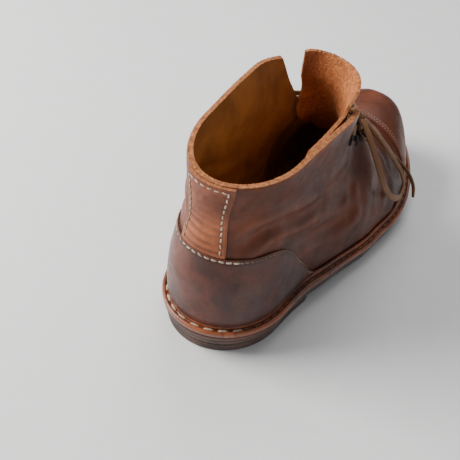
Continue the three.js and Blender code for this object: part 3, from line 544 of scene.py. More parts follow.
class Paint:
    """A material's nodes, made one after another."""

    def __init__(self, name):
        self.material = bpy.data.materials.new(name)
        self.material.use_nodes = True
        self.tree = self.material.node_tree
        self.shader = self.tree.nodes["Principled BSDF"]
        self.where = self.tree.nodes.new("ShaderNodeTexCoord").outputs["Object"]

    def add(self, kind, **settings):
        node = self.tree.nodes.new(kind)
        for key, value in settings.items():
            setattr(node, key, value)
        return node

    def join(self, source, target):
        self.tree.links.new(source, target)

    def noise(self, scale, detail=4.0, rough=0.55, stretch=None, distortion=0.0):
        node = self.add("ShaderNodeTexNoise")
        node.inputs["Scale"].default_value = scale
        node.inputs["Detail"].default_value = detail
        node.inputs["Roughness"].default_value = rough
        node.inputs["Distortion"].default_value = distortion
        self.join(self.placed(stretch), node.inputs["Vector"])
        return node.outputs["Fac"]

    def cells(self, scale, feature="DISTANCE_TO_EDGE"):
        node = self.add("ShaderNodeTexVoronoi", feature=feature)
        node.inputs["Scale"].default_value = scale
        self.join(self.where, node.inputs["Vector"])
        return node.outputs["Distance"]

    def placed(self, stretch):
        if stretch is None:
            return self.where
        node = self.add("ShaderNodeMapping")
        node.inputs["Scale"].default_value = stretch
        self.join(self.where, node.inputs["Vector"])
        return node.outputs["Vector"]

    def band(self, source, low, high):
        """0 below low, 1 above high, soft between."""
        node = self.add("ShaderNodeMapRange", interpolation_type="SMOOTHSTEP")
        node.inputs["From Min"].default_value = low
        node.inputs["From Max"].default_value = high
        self.join(source, node.inputs["Value"])
        return node.outputs["Result"]

    def attribute(self, name):
        return self.add("ShaderNodeAttribute", attribute_name=name).outputs["Fac"]

    def math(self, operation, a, b):
        node = self.add("ShaderNodeMath", operation=operation)
        for socket, value in zip(node.inputs, (a, b)):
            if isinstance(value, (int, float)):
                socket.default_value = value
            else:
                self.join(value, socket)
        return node.outputs["Value"]

    def blend(self, amount, a, b):
        node = self.add("ShaderNodeMix", data_type="RGBA")
        for socket, value in ((node.inputs[0], amount), (node.inputs[6], a), (node.inputs[7], b)):
            self.put(value, socket)
        return node.outputs[2]

    def mix(self, amount, a, b):
        node = self.add("ShaderNodeMix", data_type="FLOAT")
        for socket, value in ((node.inputs[0], amount), (node.inputs[2], a), (node.inputs[3], b)):
            self.put(value, socket)
        return node.outputs[0]

    def put(self, value, socket):
        if isinstance(value, (int, float)):
            socket.default_value = value
        elif isinstance(value, tuple):
            socket.default_value = value_of(value)
        else:
            self.join(value, socket)

    def bump(self, height, strength, distance, before=None):
        node = self.add("ShaderNodeBump")
        node.inputs["Strength"].default_value = strength
        node.inputs["Distance"].default_value = distance
        self.join(height, node.inputs["Height"])
        if before is not None:
            self.join(before, node.inputs["Normal"])
        return node.outputs["Normal"]

    def set(self, **values):
        for key, value in values.items():
            self.put(value, self.shader.inputs[key.replace("_", " ")])
        return self


def worn_leather(name, dark, mid, light, painted_sheen_colour, gloss=0.42, painted_sheen_share=0.6, coat=0.08):
    """Waxed leather: dark and reddish patches, a painted pale sheen, fine grain, faint scratches, painted
    trough shade.
    """
    p = Paint(name)
    patches = p.band(p.noise(34, 5, 0.6, distortion=0.6), 0.36, 0.66)
    sheen_clouds = p.band(p.noise(13, 4, 0.6, distortion=0.4), 0.42, 0.64)
    stains = p.band(p.noise(70, 6, 0.7, distortion=1.0), 0.5, 0.68)
    specks = p.band(p.noise(310, 3, 0.6), 0.42, 0.72)
    base = p.blend(patches, dark, mid)
    # Lighter by a point attribute: real wear on edges and scuffs, and painted highlights on ridges and
    # crests.
    wear_and_light_amount = p.attribute("wear_and_painted_light")
    base = p.blend(p.math("MULTIPLY", wear_and_light_amount, p.mix(patches, 0.65, 1.0)), base, light)
    # Painted sheen: a pale grey-mauve veil in soft clouds, thinned in the troughs.
    painted_sheen = p.math("MULTIPLY", p.mix(sheen_clouds, 0.15, 1.0), painted_sheen_share)
    painted_sheen = p.math("MULTIPLY", painted_sheen, p.math("SUBTRACT", 1.0, p.attribute("trough")))
    base = p.blend(painted_sheen, base, painted_sheen_colour)
    base = p.blend(p.math("MULTIPLY", stains, 0.3), base, dark)
    base = p.blend(p.math("MULTIPLY", specks, 0.25), base, dark)
    scratches = p.band(p.noise(60, 8, 0.75, stretch=(5.0, 5.0, 0.5), distortion=0.6), 0.60, 0.74)
    base = p.blend(p.math("MULTIPLY", scratches, 0.3), base, light)
    # Painted light: a lighter warm band along the creases, from the warm attribute.
    warm = p.math("MULTIPLY", p.attribute("warm"), p.mix(stains, 0.85, 0.5))
    base = p.blend(warm, base, tuple(0.45 * m + 0.35 * w for m, w in zip(mid, light)))
    shade = p.math("MULTIPLY", p.attribute("trough"), 0.7)
    base = p.blend(shade, base, tuple(0.5 * c for c in dark))
    grain = p.noise(900, 6, 0.65)
    pores = p.cells(1500)
    lines = p.noise(160, 6, 0.7, stretch=(1.0, 0.25, 2.2), distortion=1.2)
    normal = p.bump(lines, 0.22, 0.0006)
    normal = p.bump(grain, 0.35, 0.00025, normal)
    normal = p.bump(pores, 0.25, 0.00012, normal)
    rough = p.mix(p.band(p.noise(75, 5, 0.65), 0.35, 0.7), gloss - 0.06, gloss + 0.16)
    p.set(Base_Color=base, Roughness=rough, Normal=normal)
    p.set(Coat_Weight=coat, Coat_Roughness=0.35, Specular_IOR_Level=0.25)
    return p.material


def raw_edge(name, dark, light, scale=420):
    """A cut edge of leather: tan fibres."""
    p = Paint(name)
    fibres = p.noise(scale, 6, 0.75, stretch=(1.0, 1.0, 1.0))
    patches = p.band(p.noise(60, 4), 0.4, 0.65)
    base = p.blend(p.band(fibres, 0.35, 0.68), dark, light)
    base = p.blend(p.math("MULTIPLY", patches, 0.3), base, dark)
    flecks = p.band(p.noise(240, 5, 0.8), 0.52, 0.62)
    base = p.blend(p.math("MULTIPLY", flecks, 0.55), base, tuple(0.6 * c for c in dark))
    p.set(Base_Color=base, Roughness=0.9, Normal=p.bump(fibres, 1.0, 0.0009))
    return p.material


def suede(name, dark, mid, light):
    """Brushed flesh side with a nap that lies in patches."""
    p = Paint(name)
    nap = p.band(p.noise(45, 6, 0.7, distortion=0.8), 0.3, 0.7)
    fine = p.noise(640, 6, 0.8)
    tufts = p.noise(290, 5, 0.75, distortion=0.8)
    base = p.blend(nap, mid, light)
    # Painted shade: the nap darkened where the point attribute marks shaded parts of the tongue and its wing.
    base = p.blend(p.attribute("wear_and_painted_light"), base, dark)
    base = p.blend(p.math("MULTIPLY", p.band(tufts, 0.44, 0.6), 0.6), base, tuple(0.5 * c for c in mid))
    base = p.blend(p.math("MULTIPLY", p.band(fine, 0.44, 0.56), 0.55), base, tuple(0.5 * c for c in mid))
    normal = p.bump(tufts, 0.6, 0.0012)
    p.set(Base_Color=base, Roughness=0.95, Normal=p.bump(fine, 1.0, 0.0008, normal))
    p.set(Sheen_Weight=0.08, Sheen_Roughness=0.5, Sheen_Tint=light)
    return p.material


def lining(name, dark, light):
    """Smooth lining leather, soft and unevenly worn."""
    p = Paint(name)
    patches = p.band(p.noise(28, 5, 0.6, distortion=0.5), 0.3, 0.7)
    wrinkles = p.noise(55, 4, 0.5, stretch=(1.0, 1.0, 0.35), distortion=1.0)
    base = p.blend(patches, dark, light)
    normal = p.bump(wrinkles, 0.35, 0.003)
    normal = p.bump(p.noise(800, 4, 0.6), 0.3, 0.0002, normal)
    p.set(Base_Color=base, Roughness=0.62, Normal=normal)
    return p.material


def plain(name, dark, light, rough, bump_strength=0.3, bump_scale=400, metal=0.0, stretch=None):
    p = Paint(name)
    grain = p.noise(bump_scale, 5, 0.65, stretch=stretch)
    patches = p.band(p.noise(45, 4, 0.6), 0.35, 0.7)
    p.set(Base_Color=p.blend(patches, dark, light), Roughness=rough, Metallic=metal)
    p.set(Normal=p.bump(grain, bump_strength, 0.0004))
    return p.material


# Each worn leather's fourth colour is its painted pale sheen, laid at the given share.
QUARTER = worn_leather(
    "quarter", (0.042, 0.009, 0.004), (0.145, 0.030, 0.011), (0.36, 0.092, 0.028), (0.088, 0.036, 0.026),
    painted_sheen_share=0.6,
)
VAMP = worn_leather(
    "vamp", (0.050, 0.010, 0.004), (0.125, 0.026, 0.008), (0.22, 0.055, 0.016), (0.075, 0.028, 0.017),
    painted_sheen_share=0.3,
)
COUNTER = worn_leather(
    "counter", (0.042, 0.013, 0.010), (0.120, 0.030, 0.016), (0.25, 0.070, 0.030), (0.092, 0.048, 0.042),
    gloss=0.36, painted_sheen_share=0.6, coat=0.22,
)
STRIP = worn_leather(
    "strip", (0.12, 0.030, 0.013), (0.27, 0.070, 0.027), (0.48, 0.150, 0.055), (0.17, 0.066, 0.048),
    painted_sheen_share=0.45,
)
WELT_LEATHER = worn_leather(
    "welt", (0.075, 0.018, 0.009), (0.25, 0.052, 0.017), (0.52, 0.155, 0.045), (0.13, 0.060, 0.045),
    gloss=0.24, painted_sheen_share=0.15, coat=0.6,
)
MIDSOLE_EDGE = plain(
    "midsole_edge", (0.055, 0.022, 0.015), (0.13, 0.050, 0.032), 0.45, 0.4, 260, stretch=(1, 1, 5)
)
RUBBER = plain("rubber", (0.045, 0.024, 0.018), (0.115, 0.066, 0.050), 0.6, 0.35, 500)
EDGE = raw_edge("raw_edge", (0.22, 0.065, 0.018), (0.56, 0.215, 0.070))
DARK_EDGE = raw_edge("dark_edge", (0.030, 0.010, 0.006), (0.12, 0.042, 0.018))
LINING = lining("lining", (0.24, 0.092, 0.020), (0.44, 0.19, 0.044))
SUEDE = suede("suede", (0.24, 0.052, 0.015), (0.46, 0.130, 0.036), (0.74, 0.26, 0.070))
THREAD = plain("thread", (0.30, 0.20, 0.13), (0.64, 0.53, 0.41), 0.8, 0.8, 900)
DIRTY_THREAD = plain("dirty_thread", (0.10, 0.045, 0.028), (0.26, 0.15, 0.095), 0.8, 0.6, 900)
WORN_THREAD = plain("worn_thread", (0.13, 0.075, 0.055), (0.36, 0.25, 0.20), 0.8, 0.6, 900)
CAP_THREAD = plain("cap_thread", (0.16, 0.10, 0.075), (0.34, 0.25, 0.20), 0.8, 0.6, 900)
# The lace's fourth colour is its painted pale sheen.
LACE = worn_leather(
    "lace", (0.12, 0.048, 0.018), (0.25, 0.105, 0.040), (0.42, 0.20, 0.085), (0.24, 0.13, 0.07),
    gloss=0.55, painted_sheen_share=0.3, coat=0.05,
)
BLACK = plain("black_metal", (0.008, 0.008, 0.009), (0.022, 0.022, 0.024), 0.32, 0.15, 300, metal=0.6)

# The bow: the routes of the solids' cords, in metres

BOW = {
    "lace_knot": [
        (0.0163, 0.1249, 0.0981), (0.0181, 0.1234, 0.0995), (0.0185, 0.1219, 0.1018),
        (0.0174, 0.121, 0.1042), (0.0152, 0.1211, 0.1059), (0.0127, 0.1223, 0.1064),
        (0.0108, 0.1241, 0.1056), (0.0102, 0.1261, 0.1038), (0.0111, 0.1276, 0.1016),
        (0.0133, 0.1282, 0.1), (0.0159, 0.1278, 0.0994), (0.0183, 0.1265, 0.1002),
        (0.0195, 0.1249, 0.1021),
    ],
    "lace_loop_outer": [
        (0.0202, 0.1246, 0.0992), (0.0241, 0.1276, 0.0958), (0.0272, 0.1333, 0.0895),
        (0.0298, 0.1407, 0.0797), (0.034, 0.149, 0.068), (0.039, 0.156, 0.056), (0.045, 0.16, 0.045),
        (0.05, 0.157, 0.0375), (0.0525, 0.148, 0.0355), (0.053, 0.138, 0.039), (0.0525, 0.129, 0.0455),
        (0.0515, 0.121, 0.054), (0.049, 0.115, 0.064), (0.045, 0.112, 0.075), (0.0388, 0.1122, 0.0857),
        (0.0307, 0.1148, 0.095), (0.0241, 0.1185, 0.1003), (0.02, 0.1211, 0.1019),
    ],
    "lace_loop_inner": [
        (0.0104, 0.1292, 0.1028), (0.0036, 0.1362, 0.1019), (-0.0052, 0.1446, 0.0977),
        (-0.015, 0.152, 0.09), (-0.027, 0.156, 0.079), (-0.039, 0.157, 0.067), (-0.05, 0.154, 0.057),
        (-0.057, 0.147, 0.053), (-0.059, 0.139, 0.057), (-0.057, 0.132, 0.066), (-0.05, 0.128, 0.078),
        (-0.039, 0.127, 0.09), (-0.025, 0.1284, 0.0999), (-0.0102, 0.129, 0.1061),
        (0.0026, 0.1276, 0.1069), (0.009, 0.1263, 0.1054),
    ],
    "lace_end_outer": [
        (0.0176, 0.1286, 0.0985), (0.0196, 0.1352, 0.0914), (0.0223, 0.1436, 0.0807),
        (0.026, 0.152, 0.07), (0.0315, 0.16, 0.059), (0.039, 0.167, 0.049), (0.047, 0.171, 0.039),
        (0.053, 0.171, 0.03), (0.056, 0.168, 0.023),
    ],
    "lace_end_inner": [
        (0.0129, 0.1294, 0.099), (0.0086, 0.1372, 0.0944), (0.0038, 0.1466, 0.0877),
        (-0.003, 0.156, 0.08), (-0.013, 0.164, 0.072), (-0.025, 0.169, 0.064), (-0.039, 0.171, 0.055),
        (-0.051, 0.17, 0.044), (-0.058, 0.165, 0.032),
    ],
}
BOW_WIDTH = 4.4
BOW_THICKNESS = 1.7
KNOT_CORE = 3.9


def lace_attributes(count):
    return {"wear_and_painted_light": np.full(count, 0.25), "trough": np.zeros(count)}


def add_bow():
    section = strap_section(BOW_WIDTH, BOW_THICKNESS)
    middle = np.array([-4.0, 110.0, 30.0])
    for name, route in BOW.items():
        path = spline(np.array(route) / MM, 1.2)
        if name == "lace_knot":
            away = unit(path - path.mean(axis=0))
        else:
            away = unit((path - middle) * np.array([1.0, 0.6, 0.8]))
        wave = np.linspace(0, 1, len(path))[:, None]
        sideways = np.cross(unit(np.gradient(path, axis=0)), away)
        faces_to = unit(away + 0.55 * np.sin(2 * math.pi * wave) * sideways)
        rings = sweep(path, faces_to, section)
        item = tube(name + "_strap", rings, [LACE], lace_attributes(rings.shape[0] * rings.shape[1]))
        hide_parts(name)


def add_knot_core():
    """The wraps inside the knot's turn: a small swollen roll, creased across."""
    ring_line = np.array(BOW["lace_knot"]) / MM
    middle = ring_line.mean(axis=0)
    axes = np.linalg.svd(ring_line - middle)[2]
    turns, heights = 28, 15
    across = np.linspace(0, 2 * math.pi, turns, endpoint=False)
    rings = []
    for v in np.linspace(-0.98, 0.98, heights):
        wide = KNOT_CORE * math.sqrt(1 - v * v) * (1 + 0.07 * math.cos(9 * v))
        flat = np.cos(across)[:, None] * axes[1] * wide + np.sin(across)[:, None] * axes[2] * wide * 0.75
        rings.append(middle + axes[0] * v * KNOT_CORE + flat)
    item = tube("lace_knot_core", np.array(rings), [LACE], lace_attributes(turns * heights))
    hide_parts("lace_knot")


add_bow()
add_knot_core()

# Creases, placed one by one on the quarters: places round the rear and heights in millimetres above
# the feather line, with each crease's half width, depth and the height of the ridges beside it.
CREASES = [
    dict(
        path=[(0.09, 62), (0.15, 70), (0.21, 77), (0.29, 75), (0.38, 68), (0.50, 63), (0.62, 62)],
        wide=4.6, deep=2.3, ridge=0.9,
    ),
    dict(path=[(0.20, 66), (0.28, 63), (0.36, 56), (0.46, 51), (0.56, 50)], wide=3.2, deep=1.0, ridge=0.5),
    dict(
        path=[(0.34, 55), (0.41, 47), (0.52, 40), (0.62, 37), (0.70, 42), (0.78, 50)],
        wide=4.4, deep=1.7, ridge=0.8,
    ),
    dict(path=[(0.44, 76), (0.54, 70), (0.64, 70), (0.74, 74)], wide=4.5, deep=1.1, ridge=0.5),
    dict(path=[(0.66, 28), (0.69, 38), (0.70, 50), (0.72, 64)], wide=2.6, deep=0.8, ridge=0.25),
    dict(path=[(0.74, 24), (0.76, 36), (0.765, 50), (0.78, 62)], wide=2.6, deep=0.85, ridge=0.3),
    dict(path=[(0.81, 20), (0.83, 32), (0.84, 46), (0.87, 56)], wide=2.8, deep=0.85, ridge=0.3),
    dict(path=[(0.88, 16), (0.90, 26), (0.92, 38), (0.95, 48)], wide=3.0, deep=0.8, ridge=0.3),
    dict(path=[(0.50, 24), (0.58, 20), (0.68, 17)], wide=3.4, deep=0.7, ridge=0.4),
    dict(
        path=[(-0.10, 66), (-0.18, 76), (-0.28, 76), (-0.38, 69), (-0.50, 64), (-0.60, 63)],
        wide=4.4, deep=1.8, ridge=0.9,
    ),
    dict(
        path=[(-0.30, 58), (-0.42, 49), (-0.54, 43), (-0.66, 44), (-0.76, 52)],
        wide=4.2, deep=1.5, ridge=0.8,
    ),
    dict(path=[(-0.70, 26), (-0.73, 40), (-0.74, 56), (-0.77, 66)], wide=2.8, deep=1.1, ridge=0.6),
    dict(path=[(-0.80, 20), (-0.83, 34), (-0.85, 48), (-0.88, 58)], wide=2.8, deep=1.1, ridge=0.6),
    dict(path=[(-0.90, 16), (-0.92, 28), (-0.94, 42)], wide=2.8, deep=1.0, ridge=0.5),
]
# The vamp's creases: x across from the ridge and y along the foot, in millimetres.
VAMP_CREASES = [
    dict(path=[(-40, 128), (-24, 134), (-8, 138), (8, 138), (22, 134)], wide=3.4, deep=1.2, ridge=0.6),
    dict(
        path=[(-46, 140), (-30, 146), (-12, 150), (6, 150), (24, 146), (38, 139)],
        wide=3.8, deep=1.3, ridge=0.7,
    ),
    dict(
        path=[(-48, 152), (-30, 160), (-12, 164), (8, 164), (26, 159), (42, 150)],
        wide=3.4, deep=1.0, ridge=0.5,
    ),
    dict(path=[(-38, 170), (-22, 174), (-6, 175), (10, 172)], wide=2.8, deep=0.6, ridge=0.3),
]


def crease_depths(points, lines, slopes):
    """Height and painted shade that creases give to points; each line is a path in space."""
    flat = points.reshape(-1, 3)
    height = np.zeros(len(flat))
    dark = np.zeros(len(flat))
    for line, crease in zip(lines, slopes):
        near = np.full(len(flat), 1e9)
        along = np.zeros(len(flat))
        for i, point in enumerate(line):
            d = np.linalg.norm(flat - point, axis=1)
            closer = d < near
            near = np.where(closer, d, near)
            along = np.where(closer, i / (len(line) - 1), along)
        wide = crease["wide"]
        fade = smooth(np.minimum(along, 1 - along) / 0.28)
        trough = np.exp(-((near / wide) ** 2)) * fade
        ridge = np.exp(-(((near - 2.1 * wide) / (0.9 * wide)) ** 2)) * fade
        height += crease["ridge"] * ridge - crease["deep"] * trough
        dark = np.maximum(dark, trough * min(1.0, crease["deep"] / 1.8))
    return height.reshape(points.shape[:-1]), dark.reshape(points.shape[:-1])


def rear_lines():
    lines = []
    for crease in CREASES:
        path = spline(np.array([(s * 100, up, 0) for s, up in crease["path"]]), 1.0)
        path_round, path_up = path[:, 0] / 100, path[:, 1]
        lines.append(rear_point(path_round, path_up) + QUARTER_STEP * rear_normal(path_round, path_up))
    return lines


def waves(points, size, seed):
    """Soft unevenness: a sum of a few slow waves, from -1 to 1."""
    rng = np.random.default_rng(seed)
    total = np.zeros(points.shape[:-1])
    for _ in range(7):
        way = unit(rng.normal(size=3))
        length = size * rng.uniform(0.6, 1.6)
        total += np.sin(points @ way * (2 * math.pi / length) + rng.uniform(0, 2 * math.pi))
    return total / 7


REAR_LINES = rear_lines()


def rear_relief(points):
    height, dark = crease_depths(points, REAR_LINES, CREASES)
    return height + 0.35 * waves(points, 38, 3) + 0.12 * waves(points, 13, 5), dark


# Stitches


def capsules(name, centres, ahead, normals, length, radius, material, flat=0.7):
    """One mesh of small stitches, each laid along ahead."""
    turns = np.linspace(0, 2 * math.pi, 8, endpoint=False)
    along = np.array([-0.5, -0.42, -0.2, 0.2, 0.42, 0.5]) * length
    swell = np.array([0.25, 0.75, 1.0, 1.0, 0.75, 0.25]) * radius
    across = np.cross(normals, ahead)
    points = []
    faces = []
    for c, a, n, w in zip(centres, ahead, normals, across):
        base = len(points)
        for z, r in zip(along, swell):
            sink = -0.35 * radius * (abs(z) / (length / 2)) ** 2
            for turn in turns:
                points.append(c + a * z + w * math.cos(turn) * r + n * (math.sin(turn) * r * flat + sink))
        for i in range(5):
            low = base + i * 8
            for j in range(8):
                k = (j + 1) % 8
                faces.append([low + j, low + k, low + 8 + k, low + 8 + j])
        faces.append([base + j for j in range(7, -1, -1)])
        faces.append([base + 40 + j for j in range(8)])
    item = add_mesh(name, np.array(points), faces, None, [material])
    return item


def stitch_line(name, line, normals, pitch, length, radius, keep=None, material=None, wander=0.06):
    """Stitches at a pitch along a line; keep says which shares of it have them."""
    steps = np.linalg.norm(np.diff(line, axis=0), axis=1)
    run = np.concatenate([[0], np.cumsum(steps)])
    count = int(run[-1] / pitch)
    at = (np.arange(count) + 0.5) * run[-1] / count
    rng = np.random.default_rng(len(name) + count)
    if keep is not None:
        at = at[[keep(v / run[-1], rng) for v in at]]
    centres = np.stack([np.interp(at, run, line[:, i]) for i in range(3)], axis=1)
    ways = np.gradient(line, axis=0)
    ahead = unit(np.stack([np.interp(at, run, ways[:, i]) for i in range(3)], axis=1))
    out = unit(np.stack([np.interp(at, run, normals[:, i]) for i in range(3)], axis=1))
    ahead = unit(ahead + rng.normal(0, wander, ahead.shape))
    ahead = unit(ahead - out * np.sum(ahead * out, axis=1, keepdims=True))
    return capsules(name, centres, ahead, out, length, radius, material or THREAD)


# Upper


def add_quarters():
    columns = 210 * FINE
    rows = 42 * FINE
    s = np.linspace(-1, 1, columns)
    s = np.sign(s) * np.abs(s) ** 0.93
    t = np.linspace(0, 1, rows)
    top = np.interp(s, TOP_SHARES, TOP_UPS)
    bend = smooth((np.abs(s) - CORNER_SHARE) / (1 - CORNER_SHARE))
    spread = mix(t[:, None], np.sin(t * 1.45)[:, None] / math.sin(1.45), bend[None])
    up = top[None] * spread
    where = np.broadcast_to(s[None], up.shape)
    base = rear_point(where, up)
    normal = rear_normal(where, up)
    relief, dark = rear_relief(base)
    covered = smooth((up - LIP_HEIGHT) / 6) * smooth((top[None] - up) / 5 + 0.25)
    relief = relief * covered
    step = QUARTER_STEP * smooth((up - LIP_HEIGHT - 2 * GAP) / 1.8)
    rng = np.random.default_rng(11)
    fuzz = rng.normal(0, 0.12, up.shape) * smooth(1 - (top[None] - up) / 1.4)
    edge_round = 0.5 * np.exp(-((top[None] - up) / 0.9) ** 2)
    outer = base + normal * (step + relief - edge_round)[..., None]
    inner = base + normal * (-WALL + 0.45 * relief * smooth((top[None] - up) / 12))[..., None]
    outer[..., 2] += fuzz
    inner[..., 2] += fuzz * 0.8
    # Lighter: the worn collar edge, a painted highlight on crease ridges and painted light towards the top
    # round the back.
    wear_and_painted_light = np.maximum(0.85 * np.exp(-((top[None] - up) / 2.6)), 0.55 * np.clip(relief, 0, 1))
    wear_and_painted_light = np.maximum(wear_and_painted_light, 0.2 * smooth((up - 50) / 40) * smooth(1.2 - 2 * np.abs(s)[None]))
    # Warm is painted light along the creases plus random patches; trough is painted shade in the creases.
    warm = np.clip(dark * covered * 1.1 + 0.25 * waves(base, 30, 71), 0, 0.9)
    attributes = {"trough": 0.3 * dark**2 * covered, "wear_and_painted_light": np.broadcast_to(wear_and_painted_light, up.shape), "warm": warm}
    item = shell("quarters", outer, inner, [QUARTER, LINING, EDGE], attributes)
    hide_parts("upper")
    for name, end in (("outer", -1), ("inner", 0)):
        middle = rows // 2
        away = np.linalg.norm(base[middle] - base[middle, end], axis=1)
        for row, inset in (("a", 2.6), ("b", 5.0)):
            line_column = int(np.argmin(np.abs(away - inset)))
            shown = up[:, line_column] > LIP_HEIGHT + 3
            line = outer[shown, line_column]
            thread = "facing_thread_" + name + "_" + row
            stitch_line(
                thread, line, normal[shown, line_column], 2.7, 1.9, 0.3, None, DIRTY_THREAD
            )


def add_vamp():
    """Vamp and toe cap, with the cap's step."""
    seam_share = SEAM / (place(1) - THROAT_Y)
    cap_share = (place(1) - place(CAP_ALONG)) / (place(1) - THROAT_Y)
    rows = 56 * FINE
    g = 1 - np.cos(np.linspace(0.012, 1, rows) * math.pi / 2)
    near = np.linspace(cap_share - seam_share, cap_share + seam_share, 7)
    g = np.sort(np.concatenate([g[np.abs(g - cap_share) > 1.4 * seam_share], near]))
    half = 34 * FINE
    t = np.linspace(0, 1, half)
    u = np.sin(t * 1.45) / math.sin(1.45)
    outer_half = arch_point(1.0, g[:, None], u[None])
    inner_half = arch_point(-1.0, g[:, None], u[None])
    ridge_y = mix(place(1), THROAT_Y, g)
    ridge = np.stack([centre_x(ridge_y), ridge_y, feather(ridge_y) + crown(ridge_y)], axis=1)
    left, right = inner_half[:, -1], outer_half[:, -1]
    bridge = []
    for w in np.linspace(0, 1, 9)[1:-1]:
        rise = (1 - (2 * w - 1) ** 2)[None] if np.ndim(w) else 1 - (2 * w - 1) ** 2
        flat = right + (left - right) * w
        flat[:, 2] += (ridge[:, 2] - (left[:, 2] + right[:, 2]) / 2) * rise
        flat[:, 1] += (ridge[:, 1] - (left[:, 1] + right[:, 1]) / 2) * rise
        bridge.append(flat)
    base = np.concatenate([outer_half, np.stack(bridge, axis=1), inner_half[:, ::-1]], axis=1)
    normal = grid_normals(base)
    if normal[len(g) // 2, base.shape[1] // 2, 2] < 0:
        normal = -normal
    height_above = base[..., 2] - feather(base[..., 1])
    cap = 1 - smooth((g - cap_share + seam_share / 2) / seam_share)
    step = CAP_STEP * cap[:, None] * smooth((height_above - LIP_HEIGHT - 2 * GAP) / 1.8)
    lines = []
    for crease in VAMP_CREASES:
        path = spline(np.array([(x, y, 0) for x, y in crease["path"]]), 1.0)
        x, y = path[:, 0], path[:, 1]
        side = np.where(x > centre_x(y), 1.0, -1.0)
        up = height_for(side, y, np.minimum(np.abs(x - centre_x(y)), half_width(side, y, crown(y) * 0.4)))
        lines.append(np.stack([x, y, feather(y) + up], axis=1))
    relief, dark = crease_depths(base, lines, VAMP_CREASES)
    relief = relief + 0.3 * waves(base, 34, 8) + 0.1 * waves(base, 12, 9)
    shown = smooth((height_above - LIP_HEIGHT) / 6)
    relief = relief * shown * smooth(g[:, None] / 0.2 + 0.2)
    outer = base + normal * (step + relief)[..., None]
    inner = base - normal * (WALL * np.minimum(1, 0.3 + g[:, None] * 8))[..., None]
    # Lighter: the toe cap above its lowest 8 mm and a painted highlight on crease ridges; warm is painted
    # light along the creases plus random patches, trough painted crease shade.
    wear_and_painted_light = np.maximum(0.35 * cap[:, None] * smooth((height_above - 8) / 12), 0.5 * np.clip(relief, 0, 1))
    warm = np.clip(dark * shown + 0.25 * waves(base, 30, 72), 0, 0.9)
    attributes = {"trough": 0.4 * dark**2 * shown, "wear_and_painted_light": wear_and_painted_light, "warm": warm}
    flip = np.dot(np.cross(base[5, 6] - base[5, 5], base[6, 5] - base[5, 5]), normal[5, 5]) < 0
    item = shell("vamp", outer, inner, [VAMP, LINING, DARK_EDGE], attributes, flip=bool(flip))
    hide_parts("upper")
    for row, inset in (("a", 1.8), ("b", 4.0)):
        line_row = int(np.argmin(np.abs(g - cap_share + (inset + SEAM) / (place(1) - THROAT_Y))))
        shown = height_above[line_row] > LIP_HEIGHT + 2
        line = outer[line_row, shown]
        stitch_line(
            "cap_thread_" + row, line, normal[line_row, shown], 2.7, 1.9, 0.3,
            None, CAP_THREAD,
        )


def add_counter():
    columns = 150 * FINE
    rows = 26 * FINE
    way = np.sin(np.linspace(-1, 1, columns) * (math.pi / 2) * 0.995)
    s = way * COUNTER_END
    top = column(COUNTER_EDGE, "way", "up", np.abs(way)) * SHAFT_HEIGHT
    foot = LIP_HEIGHT + 2 * GAP
    t = np.linspace(0, 1, rows)[:, None]
    up = mix(foot, top[None], t)
    where = np.broadcast_to(s[None], up.shape)
    base = rear_point(where, up)
    normal = rear_normal(where, up)
    relief, _ = rear_relief(base)
    rim = np.minimum(top[None] - up, (1 - np.abs(way))[None] * 70)
    thick = QUARTER_STEP + OVERLAY_GAP + OVERLAY - 0.5 * np.exp(-((rim / 0.8) ** 2))
    groove = 0.25 * np.exp(-(((rim - 2.0) / 0.9) ** 2))
    bulge = 0.35 * waves(base, 46, 21) + 0.08 * waves(base, 9, 22)
    outer = base + normal * (thick - groove + 0.3 * relief + bulge * smooth(rim / 8))[..., None]
    inner = base + normal * (QUARTER_STEP - 0.4 + 0.3 * relief)[..., None]
    # Lighter: random scuffs and the worn rim, which also carries a painted highlight; trough is painted shade
    # in the groove below the rim.
    scuff = 0.5 * smooth((waves(base, 30, 31) - 0.25) / 0.3)
    wear_and_painted_light = np.maximum(1.0 * np.exp(-((rim / 0.9) ** 2)), scuff * 0.55)
    attributes = {"trough": 0.8 * np.exp(-(((rim - 2.0) / 1.2) ** 2)), "wear_and_painted_light": wear_and_painted_light}
    item = shell("counter_cover", outer, inner, [COUNTER, DARK_EDGE, DARK_EDGE], attributes)
    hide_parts("counter")


def strip_half(t):
    low = mix(STRIP_FOOT, STRIP_WAIST, smooth(t * 2))
    return np.where(t < 0.5, low, mix(STRIP_WAIST, STRIP_TOP, smooth(t * 2 - 1)))


def strip_place(side_share, t):
    """A place on the heel strip: -1 to 1 across, 0 at its foot to 1 at the collar."""
    level_sum = float(level("half", np.float64(SHAFT_HEIGHT)) + level("round", np.float64(SHAFT_HEIGHT)))
    quarter_turn = 0.25 * math.pi * HEEL_WIDTH * level_sum
    s = side_share * (strip_half(t) / quarter_turn) * ROUND_SHARE
    low = column(COUNTER_EDGE, "way", "up", np.abs(s) / COUNTER_END) * SHAFT_HEIGHT + 2 * GAP
    up = mix(low, collar_up(np.where(s < 0, -1.0, 1.0), np.abs(s)) - 0.5, t)
    return s, up


